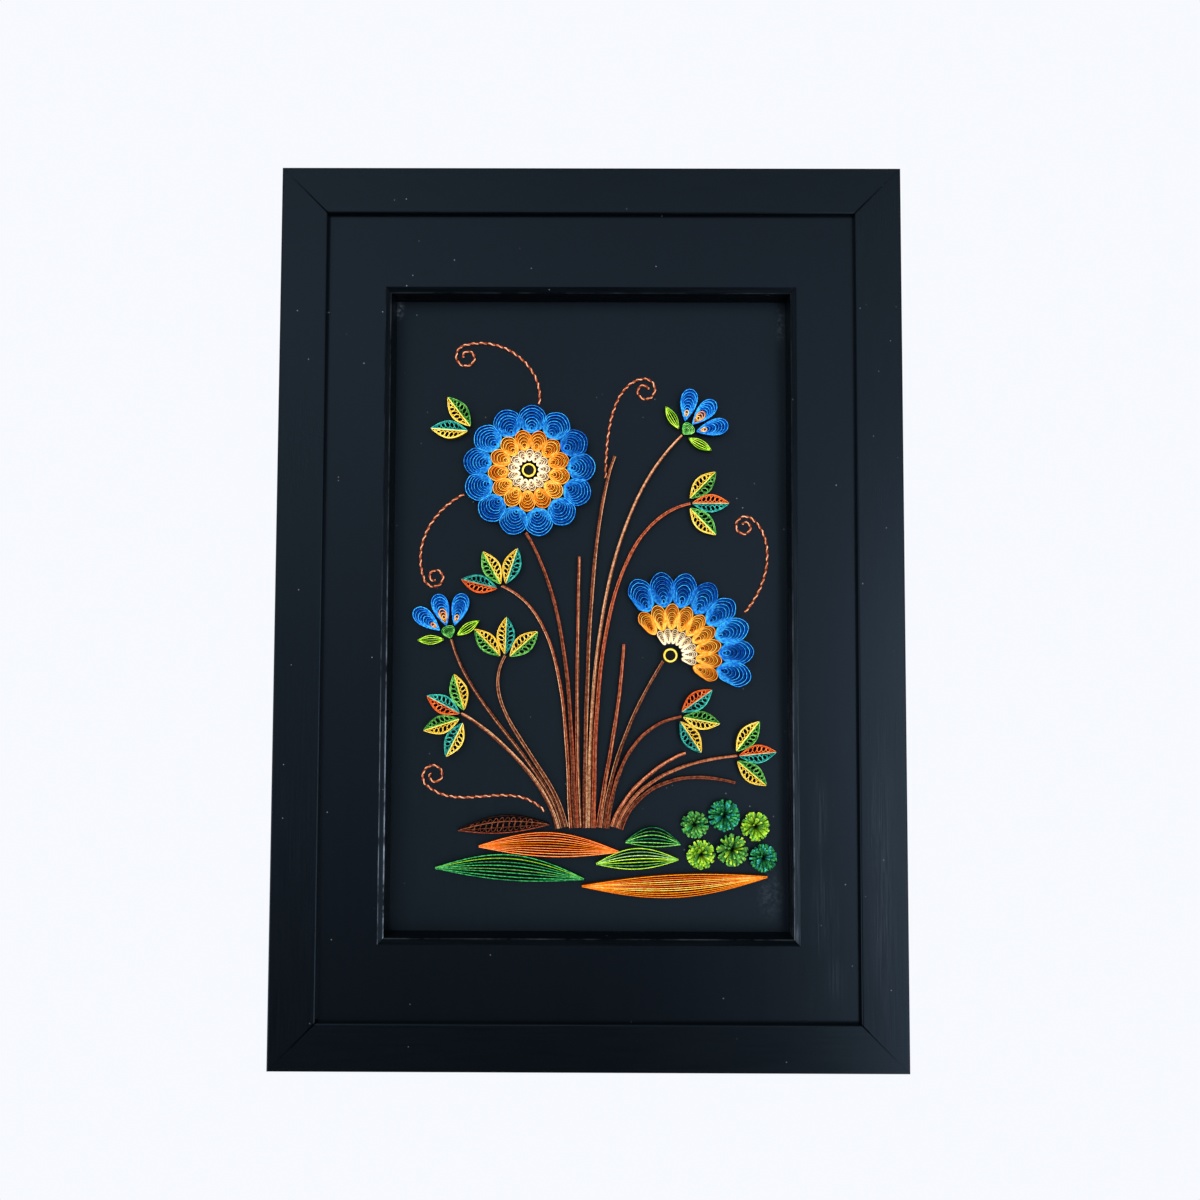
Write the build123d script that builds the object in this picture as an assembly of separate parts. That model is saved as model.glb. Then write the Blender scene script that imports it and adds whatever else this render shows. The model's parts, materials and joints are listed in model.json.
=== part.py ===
from build123d import *
import os
from math import atan2, cos, hypot, pi, radians, sin, sqrt

# Framed quilled paper art, all sizes in millimetres.
# X runs to the viewer's right, +Z up, and the picture faces -Y.
# The rails' backs lie in the plane Y = 0, against the wall.
# The origin is the wall nail, under the middle notch of the hanger.
# Plan points (x, z) of the picture are measured from the middle of the frame.

# Outer frame
FRAME_WIDTH = 400.0
FRAME_HEIGHT = 574.0
FRAME_DEPTH = 30.0
RAIL_WIDTH = 30.0
ARRIS_RADIUS = 1.2
REBATE_WIDTH = 8.0
LIP_DEPTH = 4.0

# Window board and the slip moulding round its window
BOARD_CLEARANCE = 0.5
SIDE_BAND = 37.0
END_BAND = 47.0
WINDOW_BOARD_THICKNESS = 6.0
SLIP_WIDTH = 4.5
SLIP_LEAN = 1.0
SLIP_SLOPE = 2.0
SLIP_NOSE = 0.8

# Boards behind the window
PICTURE_DEPTH = 16.0
PICTURE_BOARD_THICKNESS = 2.0
BACK_BOARD_THICKNESS = 3.0
BATTEN_WIDTH = 14.0

# Metal fittings
POINT_LENGTH = 14.0
POINT_WIDTH = 8.0
POINT_THICKNESS = 0.6
POINT_DRIVEN = 6.0
SIDE_POINT_SPACING = 170.0
END_POINT_SPACING = 150.0
CORNER_NAIL_LEG = 6.0
CORNER_NAIL_THICKNESS = 0.6
CORNER_NAIL_DEPTH = 10.0
CORNER_NAIL_EDGE = 12.0
HANGER_DROP = 18.0
HANGER_LENGTH = 44.0
HANGER_FOOT = 7.0
HANGER_JOGGLE = 2.5
HANGER_STAND_OFF = 1.4
HANGER_SHEET = 0.9
HANGER_HEIGHT = 8.0
TOOTH_DEPTH = 2.0
TOOTH_PITCH = 3.2
TOOTH_COUNT = 7
NAIL_RADIUS = 1.0
NAIL_LENGTH = 10.0
NAIL_HEAD_RADIUS = 2.2
NAIL_HEAD_THICKNESS = 0.8
NAIL_CLEARANCE = 0.1
NAIL_CORNERS = 12

# Paper strips, standing on edge on the picture board
PAPER = 0.7
CURL_TURNS = 1.25
CURL_CORNERS = 10
STEM_HEIGHT = 4.0
LEAF_HEIGHT = 5.0
PETAL_HEIGHT = 6.0
INNER_PETAL_HEIGHT = 7.0
CENTRE_HEIGHT = 8.0
BED_HEIGHT = 4.5
POMPOM_HEIGHT = 9.0
TENDRIL_THICKNESS = 1.6
STEM_PITCH = 2.9
STEM_TAPER = 0.45
STEM_CORNERS = 7
LEAF_LENGTH = 24.0
LEAF_WIDTH = 11.0
LEAF_START = 4.5
TIP_TO_LEAF = 1.1
BUD_LENGTH = 21.0
BUD_WIDTH = 10.5
BUD_START = 9.4
BUD_SPREAD = 33.0
CUP_LENGTH = 8.0
CUP_WIDTH = 8.4
CUP_START = 0.8
SEPAL_LENGTH = 17.0
SEPAL_WIDTH = 5.6
SEPAL_START = 4.6
SEPAL_SPREAD = 74.0
EYE_RADIUS = 3.2
COLLAR_RADIUS = 4.5
CELL_GAP = 0.4

# Reach of the whole plan of the paper work, and the least black margin round it
PLAN_WIDTH = 244.0
PLAN_HEIGHT = 376.0
SIDE_MARGIN = 6.5
END_MARGIN = 17.5

# Distances that follow from the sizes above
INNER_WIDTH = FRAME_WIDTH - 2 * RAIL_WIDTH
INNER_HEIGHT = FRAME_HEIGHT - 2 * RAIL_WIDTH
WINDOW_WIDTH = INNER_WIDTH - 2 * SIDE_BAND
WINDOW_HEIGHT = INNER_HEIGHT - 2 * END_BAND
OPENING_WIDTH = WINDOW_WIDTH - 2 * SLIP_WIDTH
OPENING_HEIGHT = WINDOW_HEIGHT - 2 * SLIP_WIDTH
FIT = min((OPENING_WIDTH - 2 * SIDE_MARGIN) / PLAN_WIDTH, (OPENING_HEIGHT - 2 * END_MARGIN) / PLAN_HEIGHT)
BOARD_WIDTH = INNER_WIDTH + 2 * (REBATE_WIDTH - BOARD_CLEARANCE)
BOARD_HEIGHT = INNER_HEIGHT + 2 * (REBATE_WIDTH - BOARD_CLEARANCE)
FRONT = -FRAME_DEPTH
BAND_FRONT = FRONT + LIP_DEPTH
BAND_BACK = BAND_FRONT + WINDOW_BOARD_THICKNESS
PICTURE_FRONT = BAND_FRONT + PICTURE_DEPTH
BACK_BOARD_FRONT = PICTURE_FRONT + PICTURE_BOARD_THICKNESS
BACK_BOARD_BACK = BACK_BOARD_FRONT + BACK_BOARD_THICKNESS
MIDDLE_Z = HANGER_DROP - FRAME_HEIGHT / 2


def raised(outline, from_y, to_y, holes=()):
    """Solid between two depths, with the given plan outline less any holes."""
    rim = Wire.make_polygon([(x, from_y, MIDDLE_Z + z) for x, z in outline])
    voids = []
    for hole in holes:
        voids.append(Wire.make_polygon([(x, from_y, MIDDLE_Z + z) for x, z in hole]))
    return Solid.extrude(Face(rim, voids), Vector(0, to_y - from_y, 0))


def rectangle(width, height, centre=(0.0, 0.0)):
    """Plan outline of a rectangle."""
    x, z = centre
    w = width / 2
    h = height / 2
    return [(x - w, z - h), (x + w, z - h), (x + w, z + h), (x - w, z + h)]


def write(name, *solids):
    """Save one named piece, or one group of separate like pieces."""
    shape = solids[0] if len(solids) == 1 else Compound(list(solids))
    export_step(shape, f"parts/{name}.step")


# The frame's bars: one section run along a side and cut at the mitres

def rail_section():
    """Section of a rail: (distance in from the outer edge, depth)."""
    r = ARRIS_RADIUS
    corner = r * (1 - sqrt(0.5))
    arris = FRONT + corner
    narrow = RAIL_WIDTH - REBATE_WIDTH
    edges = [
        Line((0, 0), (narrow, 0)),
        Line((narrow, 0), (narrow, BAND_FRONT)),
        Line((narrow, BAND_FRONT), (RAIL_WIDTH, BAND_FRONT)),
        Line((RAIL_WIDTH, BAND_FRONT), (RAIL_WIDTH, FRONT + r)),
        ThreePointArc((RAIL_WIDTH, FRONT + r), (RAIL_WIDTH - corner, arris), (RAIL_WIDTH - r, FRONT)),
        Line((RAIL_WIDTH - r, FRONT), (r, FRONT)),
        ThreePointArc((r, FRONT), (corner, arris), (0, FRONT + r)),
        Line((0, FRONT + r), (0, 0)),
    ]
    return Face(Wire(edges))


def slip_section():
    """Section of the slip: its face slopes back to a nose, and its wall leans in to the picture."""
    nose = SLIP_WIDTH - SLIP_LEAN
    edge = BAND_FRONT + SLIP_SLOPE
    points = [
        (0, PICTURE_FRONT),
        (0, BAND_FRONT),
        (nose - SLIP_NOSE, edge - SLIP_NOSE / 2),
        (nose, edge + SLIP_NOSE / 2),
        (SLIP_WIDTH, PICTURE_FRONT),
    ]
    return Face(Wire.make_polygon(points))


def mitred_bar(section, width, height, bar_width, side):
    """One of four bars round a width x height rectangle, mitred at both ends."""
    upright = side in ("left", "right")
    half_run = (height if upright else width) / 2
    half_across = (width if upright else height) / 2
    bar = Solid.extrude(section, Vector(0, 0, 2 * half_run))
    bar = bar.moved(Location((-half_across, 0, -half_run)))
    inner_run = half_run - bar_width
    inner_edge = bar_width - half_across
    outline = [
        (-half_across, -half_run),
        (inner_edge, -inner_run),
        (inner_edge, inner_run),
        (-half_across, half_run),
    ]
    rim = Wire.make_polygon([(x, FRONT - 1, z) for x, z in outline])
    bar = bar & Solid.extrude(Face(rim), Vector(0, FRAME_DEPTH + 2, 0))
    turn = {"left": 0, "top": 90, "right": 180, "bottom": 270}[side]
    return bar.rotate(Axis.Y, turn).moved(Location((0, 0, MIDDLE_Z)))


def corner_nails():
    """Four small L-shaped nails, driven from the back across the mitres."""
    nails = []
    leg = CORNER_NAIL_LEG
    thick = CORNER_NAIL_THICKNESS
    angle = [(0, 0), (leg, 0), (leg, thick), (thick, thick), (thick, leg), (0, leg)]
    x0 = CORNER_NAIL_EDGE - FRAME_WIDTH / 2
    z0 = CORNER_NAIL_EDGE - FRAME_HEIGHT / 2
    for sx, sz in ((1, 1), (-1, 1), (-1, -1), (1, -1)):
        outline = [(sx * (x0 + x), sz * (z0 + z)) for x, z in angle]
        nails.append(raised(outline, 0, -CORNER_NAIL_DEPTH))
    return nails


def framers_points():
    """Flat steel points: driven into the rebate's wall, they hold the back board."""
    points = []
    in_edge = RAIL_WIDTH - REBATE_WIDTH - POINT_DRIVEN + POINT_LENGTH / 2
    back = BACK_BOARD_BACK + POINT_THICKNESS
    for side in (-1, 1):
        for step in (-1, 0, 1):
            centre = (side * (FRAME_WIDTH / 2 - in_edge), step * SIDE_POINT_SPACING)
            outline = rectangle(POINT_LENGTH, POINT_WIDTH, centre)
            points.append(raised(outline, BACK_BOARD_BACK, back))
        for step in (-0.5, 0.5):
            centre = (step * END_POINT_SPACING, side * (FRAME_HEIGHT / 2 - in_edge))
            outline = rectangle(POINT_WIDTH, POINT_LENGTH, centre)
            points.append(raised(outline, BACK_BOARD_BACK, back))
    return points


# The sawtooth hanger: sheet steel on the back of the top rail

NAIL_X = (HANGER_LENGTH - HANGER_FOOT) / 2
NAIL_Z = HANGER_HEIGHT / 2 - TOOTH_DEPTH / 2


def hanger():
    """Sheet strip with two flat feet, a raised middle and a row of notches below."""
    foot = HANGER_LENGTH / 2 - HANGER_FOOT
    middle = foot - HANGER_JOGGLE
    end = HANGER_LENGTH / 2
    back = [(-end, 0), (-foot, 0), (-middle, HANGER_STAND_OFF)]
    back += [(-x, y) for x, y in reversed(back)]
    front = [(x, y + HANGER_SHEET) for x, y in reversed(back)]
    sheet = Face(Wire.make_polygon([(x, y, -TOOTH_DEPTH) for x, y in back + front]))
    strip = Solid.extrude(sheet, Vector(0, 0, HANGER_HEIGHT + TOOTH_DEPTH))
    cuts = []
    for index in range(TOOTH_COUNT):
        x = (index - (TOOTH_COUNT - 1) / 2) * TOOTH_PITCH
        half = TOOTH_PITCH / 2 - CELL_GAP / 2
        notch = [(x - half, 0, -TOOTH_DEPTH), (x + half, 0, -TOOTH_DEPTH), (x, 0, 0)]
        cuts.append(Solid.extrude(Face(Wire.make_polygon(notch)), Vector(0, 4 * HANGER_SHEET, 0)))
    for x in (-NAIL_X, NAIL_X):
        cuts.append(pin(x, NAIL_RADIUS + NAIL_CLEARANCE, -1, 4 * HANGER_SHEET))
    return strip.cut(*cuts)


def pin(x, radius, from_y, to_y):
    """Small bar along Y, at the height of the hanger's nails."""
    return raised(placed(disc(radius, NAIL_CORNERS), (x, NAIL_Z - MIDDLE_Z), 0), from_y, to_y)


def hanger_nail(x):
    """Nail with a flat head on the hanger's foot."""
    shank = pin(x, NAIL_RADIUS, HANGER_SHEET - NAIL_LENGTH, HANGER_SHEET)
    head = pin(x, NAIL_HEAD_RADIUS, HANGER_SHEET, HANGER_SHEET + NAIL_HEAD_THICKNESS)
    return shank.fuse(head)


# Plan outlines of the paper work

def placed(points, at, angle):
    """Points turned by an angle in degrees, then moved to a place."""
    c = cos(radians(angle))
    s = sin(radians(angle))
    return [(at[0] + c * x - s * z, at[1] + s * x + c * z) for x, z in points]


def polar(centre, radius, angle):
    """Point at a radius and an angle in degrees from a centre."""
    return placed([(radius, 0)], centre, angle)[0]


def disc(radius, count):
    """Regular outline round the origin."""
    return [polar((0, 0), radius, 360 * k / count) for k in range(count)]


def teardrop(length, width, count=10):
    """Pinched coil: x = L(1 - cos t)/2 and z = k sin t sin(t/2), sharp at the origin."""
    k = width / 2 / (4 / sqrt(27))
    turn = [-2 * pi * i / count for i in range(count)]
    return [(length * (1 - cos(t)) / 2, -k * sin(t) * sin(t / 2)) for t in turn]


def petal(centre, angle, half, inner, outer, inner_crest, outer_crest):
    """Petal of a full ring: its foot fills the valley between two petals inside it.

    Each end is an arch. At the sides, half an angle from the middle, both lie a crest
    away from the middle of the arch: the foot further out, the head further in.
    """
    corners = [
        (inner, 0),
        (inner + inner_crest, -half),
        (outer - outer_crest, -half),
        (outer - 0.3 * outer_crest, -half / 2),
        (outer, 0),
        (outer - 0.3 * outer_crest, half / 2),
        (outer - outer_crest, half),
        (inner + inner_crest, half),
    ]
    return inset([polar(centre, r, angle + a) for r, a in corners], CELL_GAP / 2)


def bowed(length, width, bow, count):
    """One bowed line from (0, 0) to (length, 0): half a sine, width and bow high."""
    steps = [k / count for k in range(count + 1)]
    return [(length * s, (width + bow) * sin(pi * s)) for s in steps]


def lens(length, width, bow, count=7):
    """Two bowed lines that meet in points at both ends."""
    low = bowed(length, -width / 2, bow, count)
    high = bowed(length, width / 2, bow, count)
    return low + high[-2:0:-1]


def half_leaf(length, width, side, count=5):
    """Half of a leaf: a straight vein and one bowed edge, on the side given."""
    offset = side * CELL_GAP / 2
    edge = bowed(length, side * width / 2, 0, count)
    outline = [(x, z + offset) for x, z in edge]
    return outline if side < 0 else outline[::-1]


def inset(outline, distance):
    """Outline drawn in by a distance: each corner slides along its bisector."""
    corners = []
    for before, here, after in zip([outline[-1]] + outline[:-1], outline, outline[1:] + [outline[0]]):
        near = normal(before, here)
        far = normal(here, after)
        scale = distance / (1 + near[0] * far[0] + near[1] * far[1])
        corners.append((here[0] + scale * (near[0] + far[0]), here[1] + scale * (near[1] + far[1])))
    return corners


def normal(start, end):
    """Unit vector square to a line, to its left."""
    dx = end[0] - start[0]
    dz = end[1] - start[1]
    length = hypot(dx, dz)
    return (-dz / length, dx / length)


def shifted(path, distances):
    """Open line moved sideways, to its left, by a distance at each point."""
    moved = []
    for before, here, after, distance in zip([path[0]] + path, path, path[1:] + [path[-1]], distances):
        side = normal(before, after)
        moved.append((here[0] + distance * side[0], here[1] + distance * side[1]))
    return moved


def ribbon(path, width, taper=0.0):
    """Outline of a strip on edge that follows an open line and may narrow to its end."""
    last = len(path) - 1
    halves = [width / 2 * (1 - taper * k / last) for k in range(last + 1)]
    return shifted(path, [-w for w in halves]) + shifted(path, halves)[::-1]


def curve(start, start_pull, end_pull, end, count):
    """Cubic curve between two points, with one pull point for each end."""
    path = []
    for k in range(count + 1):
        t = k / count
        weights = ((1 - t) ** 3, 3 * t * (1 - t) ** 2, 3 * t * t * (1 - t), t ** 3)
        points = (start, start_pull, end_pull, end)
        x = sum(w * p[0] for w, p in zip(weights, points))
        z = sum(w * p[1] for w, p in zip(weights, points))
        path.append((x, z))
    return path


# Paper pieces standing on the picture board

def standing(outline, height, holes=()):
    """Paper solid on the picture board; the plan is fitted as a whole to the opening."""
    rim, *voids = [[(FIT * x, FIT * z) for x, z in line] for line in (outline, *holes)]
    return raised(rim, PICTURE_FRONT, PICTURE_FRONT - height, voids)


def cell(outline, height, wall=PAPER):
    """Quilled cell: strips wound to a closed outline, stood on edge, with an open middle."""
    return standing(outline, height, [inset(outline, wall)])


def leaves(base, directions):
    """Two-part leaves round a base point."""
    halves = []
    for angle in directions:
        for side in (-1, 1):
            outline = half_leaf(LEAF_LENGTH, LEAF_WIDTH, side)
            halves.append(cell(placed(outline, polar(base, LEAF_START, angle), angle), LEAF_HEIGHT))
    return halves


def stem(root, lean, pull, end, tips):
    """Bundle of strips on one curve; each side strip parts from it to a tip of its own.

    A side strip's distance from the curve grows with the cube of the way along.
    """
    foot = (root, BED_TOP)
    middle = curve(foot, (root + lean[0], BED_TOP + lean[1]), pull, end, STEM_CORNERS)
    bundle = [standing(ribbon(middle, STEM_PITCH - CELL_GAP, STEM_TAPER), STEM_HEIGHT)]
    shares = [(k / STEM_CORNERS) ** 3 for k in range(STEM_CORNERS + 1)]
    for side, tip in zip((1, -1), tips):
        beside = shifted(middle, [side * STEM_PITCH * (1 - share) for share in shares])
        dx = tip[0] - end[0]
        dz = tip[1] - end[1]
        path = [(x + share * dx, z + share * dz) for share, (x, z) in zip(shares, beside)]
        bundle.append(standing(ribbon(path, STEM_PITCH - CELL_GAP, STEM_TAPER), STEM_HEIGHT))
    return bundle


def bud(base, direction):
    """Three petals half open, as teardrop cells with their points to the stem."""
    cells = []
    for angle in (direction - BUD_SPREAD, direction, direction + BUD_SPREAD):
        outline = placed(teardrop(BUD_LENGTH, BUD_WIDTH, 8), polar(base, BUD_START, angle), angle)
        cells.append(cell(outline, PETAL_HEIGHT))
    return cells


def calyx(base, direction):
    """Green cup under a bud, with a narrow leaf on either side."""
    cup = placed(teardrop(CUP_LENGTH, CUP_WIDTH, 7), polar(base, CUP_START, direction), direction)
    cells = [cell(cup, LEAF_HEIGHT)]
    for angle in (direction - SEPAL_SPREAD, direction + SEPAL_SPREAD):
        outline = placed(lens(SEPAL_LENGTH, SEPAL_WIDTH, 0, 4), polar(base, SEPAL_START, angle), angle)
        cells.append(cell(outline, LEAF_HEIGHT))
    return cells


def tendril(start, start_pull, end_pull, end, radius, side):
    """Twisted paper cord: a long curve that winds up into a flat spiral."""
    path = curve(start, start_pull, end_pull, end, 8)
    heading = atan2(end[1] - end_pull[1], end[0] - end_pull[0]) - side * pi / 2
    middle = (end[0] - radius * cos(heading), end[1] - radius * sin(heading))
    for k in range(1, CURL_CORNERS + 1):
        share = k / CURL_CORNERS
        r = radius * (1 - 0.7 * share)
        angle = heading + side * share * CURL_TURNS * 2 * pi
        path.append((middle[0] + r * cos(angle), middle[1] + r * sin(angle)))
    return standing(ribbon(path, TENDRIL_THICKNESS), TENDRIL_THICKNESS)


def bed_blade(start, direction, length, width, bow):
    """Lens of spaced strips: an outline and two bowed ribs inside it."""
    solids = [cell(placed(lens(length, width, bow), start, direction), BED_HEIGHT)]
    for share in (-0.17, 0.17):
        rib = bowed(length, share * width, bow, 7)[1:-1]
        outline = placed(ribbon(rib, PAPER), start, direction)
        solids.append(standing(outline, BED_HEIGHT))
    return solids


def pompom(centre, radius):
    """Fringed flower: a wound strip cut into hairs, lower and wider at the edge."""
    tiers = []
    for share, hairs, height in ((1.0, 14, POMPOM_HEIGHT - 2), (0.6, 9, POMPOM_HEIGHT)):
        outline = []
        for k in range(2 * hairs):
            r = radius * share * (1 - 0.18 * (k % 2))
            outline.append(polar(centre, r, 180 * k / hairs))
        tiers.append(standing(outline, height))
    return tiers[0].fuse(tiers[1]).solids()[0]


# Layout of the picture: a bunch of flowers over a leafy bed

BED_TOP = -139.0
UPPER_BLOSSOM = (-40.0, 92.0)
LOWER_BLOSSOM = (52.0, -28.0)
RIGHT_BUD = (60.0, 116.0)
LEFT_BUD = (-90.0, -18.0)

# Rings of a blossom: inner and outer radius, crest at each end, height, wall of packed strips
BLOSSOM_RINGS = {
    "heart": (5.4, 14.0, 1.2, 2.2, CENTRE_HEIGHT, 0),
    "inner_petals": (12.4, 27.0, 2.4, 3.6, INNER_PETAL_HEIGHT, 1.5),
    "petals": (24.2, 43.5, 3.8, 5.0, PETAL_HEIGHT, 1.9),
}

# Leaf clusters: the point that the leaves spring from, and the direction of each leaf
LEAF_CLUSTERS = {
    "leaves_top_left": [(-76, 118), (176, 128)],
    "leaves_top_right": [(62, 71), (46, 0, -46)],
    "leaves_middle_left": [(-56, 14), (166, 119, 72)],
    "leaves_left_bud": [(-55, -32), (134, 88, 42)],
    "leaves_bottom_left": [(-80, -68), (244, 198, 152, 106)],
    "leaves_side_stem": [(92, -93), (52, 6, -40)],
    "leaves_bottom_right": [(56, -67), (36, -10, -56)],
}


def leaf_tip(cluster, leaf):
    """End of the strip that carries a cluster: just short of one of its leaves."""
    base, directions = LEAF_CLUSTERS[cluster]
    return polar(base, LEAF_START - TIP_TO_LEAF, directions[leaf])


# Stems: foot, pull of the foot, pull of the end, end, and the tips of the two side strips
STEMS = {
    "stem_left_bud": [
        -17.6, (-8, 40), (-78, -64), LEFT_BUD,
        (leaf_tip("leaves_bottom_left", 2), leaf_tip("leaves_left_bud", 1)),
    ],
    "stem_upper_blossom": [
        -8.8, (-4, 60), (-10, 0), (-42.1, 51.6),
        (leaf_tip("leaves_middle_left", 1), (-7, 36)),
    ],
    "stem_right_bud": [
        0, (0, 80), (2, 60), RIGHT_BUD,
        ((16, 102), leaf_tip("leaves_top_right", 1)),
    ],
    "stem_lower_blossom": [
        8.8, (3, 30), (22, -72), (47.6, -31.9),
        ((22, -21), leaf_tip("leaves_bottom_right", 1)),
    ],
    "stem_side": [
        17.6, (8, 26), (54, -96), leaf_tip("leaves_side_stem", 1),
        ((62, -91), (94, -110)),
    ],
}

# Tendrils: start, pull of the start, pull of the end, end, curl radius and its side
TENDRILS = {
    "tendril_top_left": [(-34, 137), (-30, 160), (-56, 184), (-84, 176), 8, 1],
    "tendril_top_right": [(10, 88), (10, 118), (14, 150), (34, 154), 8, -1],
    "tendril_left": [(-83, 77), (-102, 68), (-118, 44), (-108, 20), 7, 1],
    "tendril_right": [(101, 0), (120, 22), (120, 52), (105, 62), 7, 1],
    "tendril_bottom_left": [(-29, -129), (-50, -106), (-84, -132), (-106, -112), 8, -1],
}

# Blades of the bed, from point to point
BED_BLADES = {
    "bed_blade_front_left": dict(start=(-100, -165), direction=-4, length=98, width=16, bow=4),
    "bed_blade_front_right": dict(start=(-6, -176), direction=3, length=122, width=14, bow=-3),
    "bed_blade_middle_left": dict(start=(-72, -151), direction=-2, length=92, width=15, bow=3),
    "bed_blade_middle_right": dict(start=(4, -162), direction=3, length=54, width=13, bow=2),
    "bed_blade_back_left": dict(start=(-85, -141), direction=4, length=60, width=11, bow=2),
    "bed_blade_back_right": dict(start=(23, -148), direction=-2, length=36, width=12, bow=4),
}

# Fringed flowers in a mound: middle and radius
POMPOMS = {
    "pompom_back_left": [(68, -137), 9.0],
    "pompom_back_middle": [(87, -131), 10.5],
    "pompom_back_right": [(107, -138), 9.5],
    "pompom_front_left": [(72, -156), 9.5],
    "pompom_front_middle": [(92, -153), 10.5],
    "pompom_front_right": [(112, -158), 9.0],
}


def write_blossom(name, centre, size, count, sweep, first):
    """Rings of petals, each set between the petals of the ring inside, round a coil."""
    half = sweep / count / 2
    open_fan = sweep < 360
    for place, (ring, sizes) in enumerate(BLOSSOM_RINGS.items()):
        inner, outer, inner_crest, outer_crest, height, wall = sizes
        radii = [size * r for r in (inner, outer, inner_crest, outer_crest)]
        cells = []
        for k in range(count + place % 2 * open_fan):
            angle = first + (2 * k - place % 2) * half
            outline = petal(centre, angle, half, *radii)
            cells.append(cell(outline, height, wall) if wall else standing(outline, height))
        write(f"{name}_{ring}", *cells)
    coil = standing(placed(disc(EYE_RADIUS, 10), centre, 0), CENTRE_HEIGHT)
    collar = cell(placed(disc(COLLAR_RADIUS, 10), centre, 0), CENTRE_HEIGHT)
    write(f"{name}_eye", coil, collar)


def main():
    os.makedirs("parts", exist_ok=True)

    nails = corner_nails()
    points = framers_points()
    shanks = [hanger_nail(x).solids()[0] for x in (-NAIL_X, NAIL_X)]
    bars = {"left": "left_stile", "top": "top_rail", "right": "right_stile", "bottom": "bottom_rail"}
    for side, name in bars.items():
        bar = mitred_bar(rail_section(), FRAME_WIDTH, FRAME_HEIGHT, RAIL_WIDTH, side)
        write(name, bar.cut(*nails, *points, *shanks).solids()[0])
        slip = mitred_bar(slip_section(), WINDOW_WIDTH, WINDOW_HEIGHT, SLIP_WIDTH, side)
        write(f"slip_{side}", slip.solids()[0])
    write("corner_nails", *nails)
    write("framers_points", *points)
    write("sawtooth_hanger", hanger().solids()[0])
    write("hanger_nails", *shanks)

    window = rectangle(WINDOW_WIDTH, WINDOW_HEIGHT)
    sheet = rectangle(BOARD_WIDTH, BOARD_HEIGHT)
    write("window_board", raised(sheet, BAND_FRONT, BAND_BACK, [window]))
    write("picture_board", raised(sheet, PICTURE_FRONT, BACK_BOARD_FRONT))
    write("back_board", raised(sheet, BACK_BOARD_FRONT, BACK_BOARD_BACK))
    for name, sign in (("left", -1), ("right", 1)):
        centre = (sign * (BOARD_WIDTH - BATTEN_WIDTH) / 2, 0)
        outline = rectangle(BATTEN_WIDTH, BOARD_HEIGHT, centre)
        write(f"batten_{name}", raised(outline, BAND_BACK, PICTURE_FRONT))
    for name, sign in (("bottom", -1), ("top", 1)):
        centre = (0, sign * (BOARD_HEIGHT - BATTEN_WIDTH) / 2)
        outline = rectangle(BOARD_WIDTH - 2 * BATTEN_WIDTH, BATTEN_WIDTH, centre)
        write(f"batten_{name}", raised(outline, BAND_BACK, PICTURE_FRONT))

    write_blossom("upper_blossom", UPPER_BLOSSOM, size=1.0, count=13, sweep=360, first=4)
    write_blossom("lower_blossom", LOWER_BLOSSOM, size=1.25, count=8, sweep=150.4, first=-16)
    for name, base, direction in (("right_bud", RIGHT_BUD, 46), ("left_bud", LEFT_BUD, 108)):
        write(f"{name}_petals", *bud(base, direction))
        write(f"{name}_calyx", *calyx(base, direction))
    for name, points in STEMS.items():
        write(name, *stem(*points))
    for name, place in LEAF_CLUSTERS.items():
        write(name, *leaves(*place))
    for name, place in TENDRILS.items():
        write(name, tendril(*place))
    for name, place in BED_BLADES.items():
        write(name, *bed_blade(**place))
    for name, place in POMPOMS.items():
        write(name, pompom(*place))


main()
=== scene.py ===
# %% Load the solids
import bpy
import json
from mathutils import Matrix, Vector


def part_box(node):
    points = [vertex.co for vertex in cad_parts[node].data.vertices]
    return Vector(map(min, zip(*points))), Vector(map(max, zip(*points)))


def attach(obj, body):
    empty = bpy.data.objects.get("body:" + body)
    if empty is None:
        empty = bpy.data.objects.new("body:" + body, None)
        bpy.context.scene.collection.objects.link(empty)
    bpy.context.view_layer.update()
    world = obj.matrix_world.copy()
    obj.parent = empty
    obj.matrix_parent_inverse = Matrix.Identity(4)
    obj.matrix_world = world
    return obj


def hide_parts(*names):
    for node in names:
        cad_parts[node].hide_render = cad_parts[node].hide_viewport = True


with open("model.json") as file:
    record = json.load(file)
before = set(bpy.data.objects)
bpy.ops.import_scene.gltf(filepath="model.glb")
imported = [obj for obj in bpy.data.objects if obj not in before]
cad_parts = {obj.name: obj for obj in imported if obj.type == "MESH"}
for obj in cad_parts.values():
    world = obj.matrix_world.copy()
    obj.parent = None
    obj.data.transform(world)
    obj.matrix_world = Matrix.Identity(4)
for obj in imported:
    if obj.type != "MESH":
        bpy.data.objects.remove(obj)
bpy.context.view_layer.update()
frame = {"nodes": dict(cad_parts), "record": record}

# %% [markdown]
# # A quilled picture in a black box frame
#
# Quilling is the craft of paper strips that are rolled, pinched and glued on edge, so that
# the eye looks down on their thin edges. The solids give the frame and the outline of every
# cell. Here each cell is laid again with single strips, and the wood gets its satin paint.
# The frame keeps its solids: a planed bar has no form that a new mesh would add.
#
# All plan points are in millimetres from the middle of the frame: x to the right, z up.
# A point's lift is its distance in front of the black picture board.

# %% Units and the picture's plane
import json
from math import radians
import bpy
import numpy as np
from mathutils import Vector

MM = 0.001
FRAME_WIDTH, FRAME_HEIGHT = 400.0, 574.0
HANGER_DROP = 18.0
MIDDLE_Z = HANGER_DROP - FRAME_HEIGHT / 2
PICTURE_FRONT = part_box("picture_board")[0][1] / MM
GAP = 0.4
draw = np.random.default_rng(7)
print("middle of the frame is at z", MIDDLE_Z, "and the picture board at y", round(PICTURE_FRONT, 3))

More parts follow.
